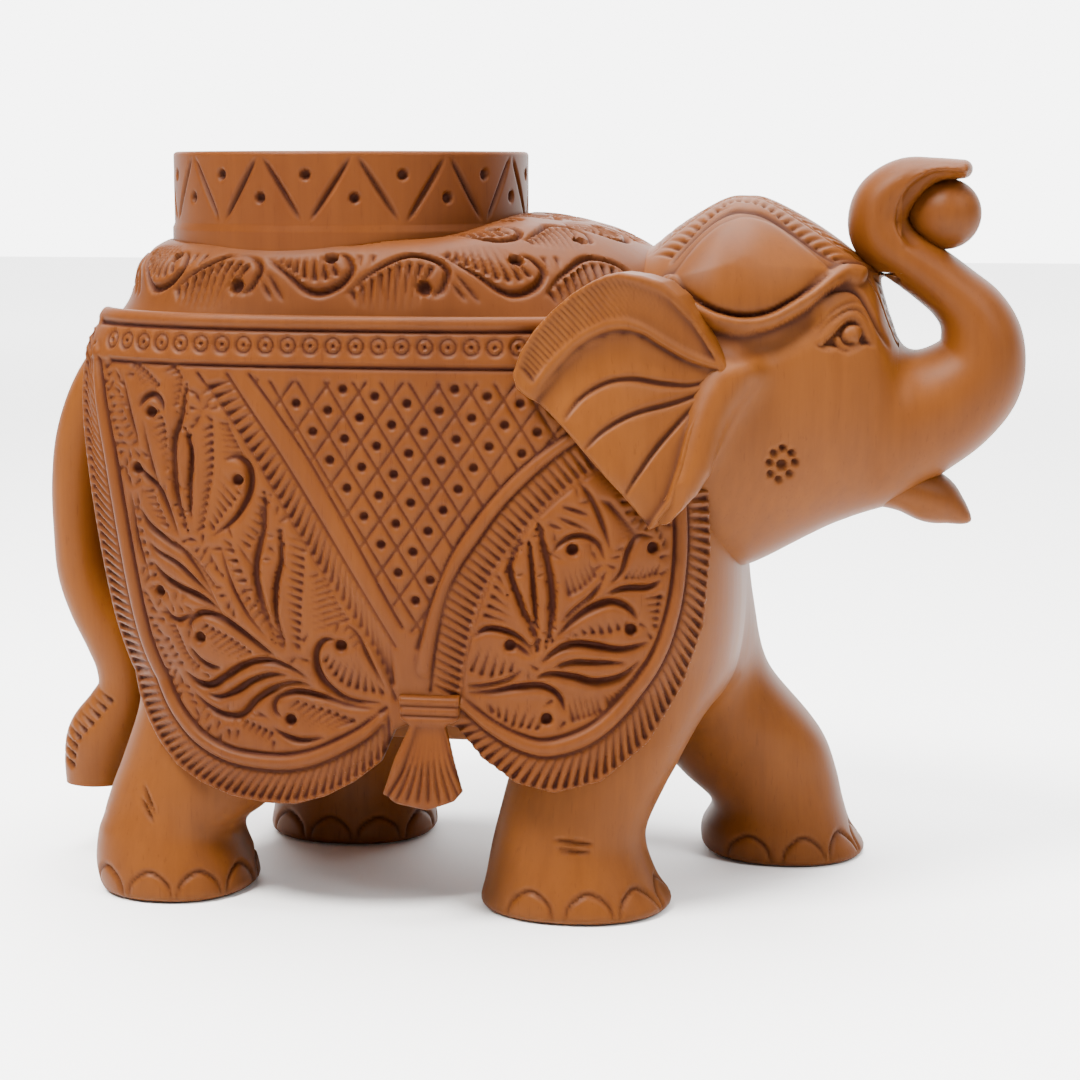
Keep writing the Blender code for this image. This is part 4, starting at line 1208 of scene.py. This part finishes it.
def crown_sheet():
    """The carved band over the crown, by x and the distance round the head from its top."""
    sheet = Relief(14, 66, -2, 24)
    middle = [(21, 11.5), (25, 8.8), (29, 6), (33, 3.6), (36, 3.4), (40, 4.6), (45, 6.4), (51, 7)]
    top = [(19, 1), (28, 0.8), (36, 0.6), (46, 0.8), (54, 1)]
    sheet.chips(24, at_shares(middle, 24) + (0.9, 0.8), at_shares(CROWN_EDGE, 24) + (0, -0.8), 0.8, 0.55)
    sheet.chips(22, at_shares(top, 22) + (0.9, 0.3), at_shares(middle, 22) + (0, -1), 0.8, 0.5)
    sheet.gouge(middle, 0.5, 0.4, 0.3)
    for spot in at_shares(middle, 8)[1:]:
        sheet.dot(spot + (0, -1.6), 0.55, 0.6)
    return sheet


def forehead_sheet():
    """The carved band down the front of the face, by y and z."""
    sheet = Relief(-12, 12, 78, 102)
    for side in (-1, 1):
        sheet.line([(side * 7, 97.5), (side * 6.4, 92), (side * 5.2, 86), (side * 3.6, 82.6)], 0.6, 0.5)
        for k in range(9):
            z = 96.5 - 1.6 * k
            sheet.chip((side * 1, z - 1.2), (side * (4.6 - 0.2 * k), z), 0.85, 0.55)
    for k in range(5):
        sheet.dot((0, 95.6 - 3 * k), 0.5, 0.5)
    return sheet


def head_relief():
    """The carving of the sides, the crown and the forehead."""
    sheets = [head_sheet(), crown_sheet(), forehead_sheet()]
    fields = [sheet_fields(sheet) for sheet in sheets]
    edge_x, edge_round = zip(*CROWN_EDGE)

    def relief(points, normals):
        x, y, z = points.T
        jaw, top, _ = table(HEAD_SECTIONS, np.clip(x, 12, 64))
        around = np.arctan2(np.abs(y), z - (jaw + top) / 2) * 24
        on_side = smoothstep(0.12, 0.4, np.abs(normals[:, 1]))
        edge = np.interp(x, edge_x, edge_round)
        on_crown = smoothstep(edge + 0.3, edge - 0.3, around)
        on_crown = on_crown * smoothstep(20, 24, x) * smoothstep(52.5, 50.5, x)
        on_front = smoothstep(50.5, 52.5, x) * smoothstep(7.6, 7, np.abs(y)) * smoothstep(82, 83.5, z)
        parts = ((x, z, on_side), (x, around, on_crown), (y, z, on_front))
        return [sum(sheet.sample(field[k], u, v) * keep
                    for sheet, field, (u, v, keep) in zip(sheets, fields, parts)) for k in (0, 1)]
    return relief


def make_head(material):
    low, high = (14, -31, 46), (FACE_CUT_X + 1.5, 31, 108)
    obj = solid("head_carved", face_shape, low, high, HEAD_STEP, material,
                [((FACE_CUT_X, 0, 0), (1, 0, 0))], head_relief())
    declare(obj, "head")
    low, high = (FACE_CUT_X - 28.5 * HEAD_STEP, -12, 57), (79, 12, 113)
    obj = solid("trunk_carved", trunk_part, low, high, HEAD_STEP, material,
                [((FACE_CUT_X, 0, 0), (-1, 0, 0), CURL_Z)], trunk_relief())
    declare(obj, "trunk")


def trunk_part(x, y, z):
    """The lower trunk with the part of the face behind it, then the curl above it on its own."""
    share = smoothstep(CURL_Z - 4, CURL_Z - 0.4, z)
    return face_shape(x, y, z) * (1 - share) + TRUNK_SHAPE(x, y, z) * share


def trunk_relief():
    """A soft ridge inside the curl, where its outer face turns to the palm that holds the ball."""
    sheet, hollow = (Relief(44, 80, 56, 114) for _ in range(2))
    ridge = [(66.6, 109), (63, 109.4), (60.1, 108.6), (57.9, 106.6), (56.6, 103.8), (56.4, 101),
        (57.6, 98.4)]
    hollow.line([(66, 107.6), (62.6, 107.9), (59.8, 106.6), (58.2, 104.2), (58, 101.6),
        (59.4, 99.2)], 2.6, 0.9)
    sheet.level -= blurred(hollow.depth, 3)
    bead(sheet, ridge, 1, 0.3)

    def where(points, normals):
        keep = smoothstep(0.25, 0.7, np.abs(normals[:, 1]))
        return points[:, 0], points[:, 2], keep, keep * 0.4
    return carving(sheet, where)


def make_lip_and_ball(material):
    lip = swept_shape([
        (50, 61.6, 2.6, 6.2), (55, 62, 3, 6.4), (59, 61.8, 3.6, 6), (62.5, 60.6, 3.9, 5),
        (65.2, 59.2, 2.6, 3.6), (67.2, 57.9, 1.4, 2.2), (68.2, 57.3, 0.6, 1.2),
    ])
    obj = solid("lower_lip_carved", lip, (46, -8, 54), (71.5, 8, 67), 0.3, material)
    declare(obj, "lower_lip")
    obj = solid("trunk_ball_carved", ball_shape, (57, -6.5, 96), (71, 6.5, 110), 0.3, material)
    declare(obj, "trunk_ball")


def ball_shape(x, y, z):
    """A round fruit drawn out a little towards the curl."""
    cx, cy, cz = BALL_CENTRE
    back = np.maximum(0, cx - x)
    stretch = 1 - 0.015 * back
    along = (x - cx) * (1 - 0.012 * back)
    return np.sqrt(along**2 + ((y - cy) ** 2 + (z - cz) ** 2) / stretch**2) - BALL_R


# ---- ears ----
EAR_OUTLINE = [
    (34.4, 81.2), (31.6, 85.2), (29.2, 89.1), (27.2, 91.8), (24.9, 93.8), (22.2, 94.7), (19.2, 95.2),
    (17.3, 94.8), (15.4, 93.9), (12.9, 92.3), (10.3, 90), (8, 87.4), (6.1, 84.3), (5.1, 81.2), (5.6, 79.2),
    (8.2, 76.9), (11.6, 73.4), (14.6, 69.6), (19.2, 63.9), (23.2, 58.6), (26.6, 62.4), (28.4, 67.4),
    (29.8, 72.6), (31.6, 76.5),
]
EAR_INNER = [
    (8.1, 78.3), (11, 81.9), (13.9, 84.9), (17, 86.6), (19.7, 87), (22.2, 86.4), (24.7, 84.8),
    (28.2, 82.7), (31, 81.7), (33, 81.3),
]
EAR_FRONT = [(23.4, 58.8), (25.9, 62.6), (27.4, 67.4), (28.6, 72.4), (30.3, 76.5), (33.4, 81.2)]
EAR_VEINS = [
    (1.3, [(11.7, 74.4), (14, 77.6), (17.4, 79.7), (20.8, 80.2), (24.5, 79.5), (27.5, 79.1),
        (29.3, 79.2), (31, 79.8)]),
    (1.3, [(14.4, 70.1), (17.4, 73.1), (21.3, 75.3), (25.8, 76.5), (28.3, 77.3), (30.6, 78.3)]),
    (1.1, [(19.8, 63.4), (21.6, 66.6), (24.1, 70.4), (26.8, 73.6), (29.4, 76.5)]),
]
EAR_HATCH_HEADS = [
    (6.4, 82.3), (7.5, 85.1), (8.7, 87), (10.3, 89.1), (12.2, 91), (14.1, 92.4), (15.8, 93.4), (17.5, 94),
    (19.3, 94.1), (21.2, 93.6), (22.9, 92.9), (24.4, 92.2), (25.9, 91.2), (27.2, 89.9), (28.8, 88.2),
]
EAR_HATCH_TAILS = [
    (8.3, 79.9), (9.8, 82), (11.4, 83.7), (13.1, 85.2), (15.1, 86.7), (17.1, 87.7), (18.9, 88.2),
    (20.8, 88.2), (22.5, 87.5), (24.5, 86.2), (26.5, 84.8), (28.3, 83.7), (30, 82.9), (31.5, 82.3),
    (32.7, 81.9),
]
# The ear's plane runs back and out from its front, and its lower tip is lifted off the cheek.
EAR_FRONT_X, EAR_FRONT_Y = 34.5, 25.2
EAR_REAR_X, EAR_REAR_Y = 5.4, 36.6
EAR_LIFT = 3.2
# The ridge of cheek at the ear: how far ahead of the border, how high, how softly it joins the head.
ROOT_AHEAD, ROOT_RISE, ROOT_REACH = 1.3, 0.1, 4.5


def ear_sheet():
    sheet = Relief(0, 40, 54, 100)
    dish = EAR_INNER + EAR_FRONT[::-1][1:] + [(14, 60), (5, 74)]
    away = -sheet.inside(dish)
    sheet.level -= 1.15 * smoothstep(-0.3, 0.8, away)
    sheet.level += 1 * smoothstep(1.5, 9, away)
    sheet.gouge(EAR_INNER, 1.3, 1, 0.35)
    for width, path in EAR_VEINS:
        sheet.gouge(path, width, 1, 0.45)
    for head, tail in zip(at_shares(EAR_HATCH_HEADS, 42), at_shares(EAR_HATCH_TAILS, 42)):
        sheet.gouge([head - (tail - head) * 0.12, tail], 0.74, 0.95, 0.3)
    return sheet


def make_ears(material):
    sheet = ear_sheet()
    for name, side in (("ear_right", -1), ("ear_left", 1)):
        def place(u, v, h):
            return on_ear(u, v, h, side)
        obj = slab(name + "_carved", sheet, EAR_OUTLINE, 6, 0.32, place, material, 1)
        declare(obj, name)


# ---- tassels and tail ----
def make_tassels(material):
    """The fans in the notches of the hem, with a grooved bar above."""
    sheet = Relief(-18, 3, 14, 38)
    foot = (-7.4, 33)
    for k in range(9):
        share = (k - 4) / 4
        sheet.gouge([(foot[0] + 1.6 * share, 30.6), (foot[0] + 3.6 * share, 24),
            (foot[0] + 6.6 * share, 18.6)],
                    0.9, 0.75, 0.3)
    for v in (32.9, 31.5):
        sheet.line([(-12, v), (-3, v)], 0.6, 0.5)
    outline = [
        (-12, 34.4), (-3, 34.4), (-3.2, 31), (-5.2, 30), (-4.2, 26.4), (-2.6, 20.6), (-3.8, 19.2),
        (-7.6, 17.8), (-12.2, 18.6), (-14.2, 20), (-12.4, 25.4), (-10.4, 30), (-11.8, 31),
    ]
    for name, side in (("tassel_right", -1), ("tassel_left", 1)):
        wall = Wall(side, CLOTH_OUT)

        def place(u, v, h):
            return wall.at(u, v, h + 1.1 + 1.2 * smoothstep(30, 24, v))
        obj = slab(name + "_carved", sheet, outline, 1.9, 0.26, place, material, 0.7)
        declare(obj, name)


def make_tail(material):
    shape = swept_shape(TAIL_SECTIONS)
    obj = solid("tail_carved", shape, (-78.5, -7, 4), (-56, 7, 90), 0.4, material,
                [((0, 0, TAIL_END_Z), (0, 0, -1))], tail_relief())
    declare(obj, "tail")


def tail_relief():
    """Chip cuts down the back edge of the tuft."""
    sheet = Relief(-80, -60, 8, 30)
    edge = [(-66.4, 25), (-69.4, 21.6), (-72.4, 18.2), (-73.4, 14)]
    sheet.chips(9, at_shares(edge, 9) + np.array([-2.6, 1.6]), at_shares(edge, 9), 1.3, 0.8)

    def where(points, normals):
        keep = (points[:, 2] < 28) * smoothstep(0.1, 0.5, np.abs(normals[:, 1]))
        return points[:, 0], points[:, 2], keep, keep
    return carving(sheet, where)


# ---- stage ----
def make_stage():
    floor = bpy.data.meshes.new("floor")
    half, drop = 2.5, -0.0002
    corners = [(half * x, half * y, drop) for x, y in ((-1, -1), (1, -1), (1, 1), (-1, 1))]
    floor.from_pydata(corners, [], [(0, 1, 2, 3)])
    obj = bpy.data.objects.new("floor", floor)
    bpy.context.scene.collection.objects.link(obj)
    s = Shader(bpy.data.materials.new("pale_floor"))
    shade = s.ramp(s.noise((1, 1, 1), 3, 2), (0.3, (0.93, 0.93, 0.93)), (0.7, (0.95, 0.95, 0.95)))
    s.tree.links.new(shade, s.main.inputs["Base Color"])
    s.main.inputs["Roughness"].default_value = 0.7
    # Far behind the figure the floor glows a little, so that it meets the backdrop softly.
    s.main.inputs["Emission Color"].default_value = (1, 1, 1, 1)
    s.tree.links.new(s.along_y("Object", 0.2, 1.3, 0, 2.7), s.main.inputs["Emission Strength"])
    floor.materials.append(s.material)


def make_light(name, place, aim, size, power, colour=(1, 1, 1)):
    light = bpy.data.lights.new(name, "AREA")
    light.shape = "DISK"
    light.size = size
    light.energy = power
    light.color = colour
    obj = bpy.data.objects.new(name, light)
    obj.location = place
    obj.rotation_euler = (Vector(aim) - Vector(place)).to_track_quat("-Z", "Y").to_euler()
    bpy.context.scene.collection.objects.link(obj)


def make_lights():
    """A white backdrop behind the figure, brighter than the room in front of it, and three lamps."""
    s = Shader(bpy.data.worlds.new("studio"), "Background")
    bpy.context.scene.world = s.material
    s.tree.links.new(s.along_y("Generated", 0.45, 0.93, 0.42, 6.5), s.main.inputs["Strength"])
    s.main.inputs["Color"].default_value = (1, 1, 1, 1)
    make_light("key", (-0.26, -0.32, 0.66), (0, 0, 0.06), 0.26, 17.5, (1, 0.97, 0.93))
    make_light("fill", (0.55, -0.30, 0.55), (0, 0, 0.06), 0.30, 5)
    make_light("top", (0, 0.10, 0.85), (0, 0, 0), 0.80, 29)


def make_camera():
    data = bpy.data.cameras.new("camera")
    data.sensor_width = 36
    data.lens = 80.17
    data.clip_start = 0.01
    obj = bpy.data.objects.new("camera", data)
    obj.location = (0.06702, -0.36425, 0.10959)
    azimuth, pitch = math.radians(10), math.radians(8.8)
    level = math.cos(pitch)
    aim = Vector((-math.sin(azimuth) * level, math.cos(azimuth) * level, -math.sin(pitch)))
    obj.rotation_euler = aim.to_track_quat("-Z", "Y").to_euler()
    bpy.context.scene.collection.objects.link(obj)
    bpy.context.scene.camera = obj


def build():
    carved = wood("carved_wood", (0.100, 0.0275, 0.0032), (0.070, 0.0182, 0.0021),
        (0.018, 0.0021, 0.0004), 0.50)
    smooth = wood("smooth_wood", (0.122, 0.0365, 0.0046), (0.086, 0.0240, 0.0029),
        (0.018, 0.0027, 0.0006), 0.47)
    collar = wood("collar_wood", (0.104, 0.029, 0.0036), (0.073, 0.0185, 0.0023),
        (0.017, 0.0022, 0.0005), 0.48)
    sheet = cloth_sheet()
    make_cloth("saddle_cloth_right", -1, sheet, carved)
    make_cloth("saddle_cloth_left", 1, sheet, carved)
    make_tassels(carved)
    make_collar(collar)
    make_body(smooth, carved)
    make_head(smooth)
    make_lip_and_ball(smooth)
    make_ears(smooth)
    make_tail(smooth)
    make_stage()
    make_lights()
    make_camera()


build()
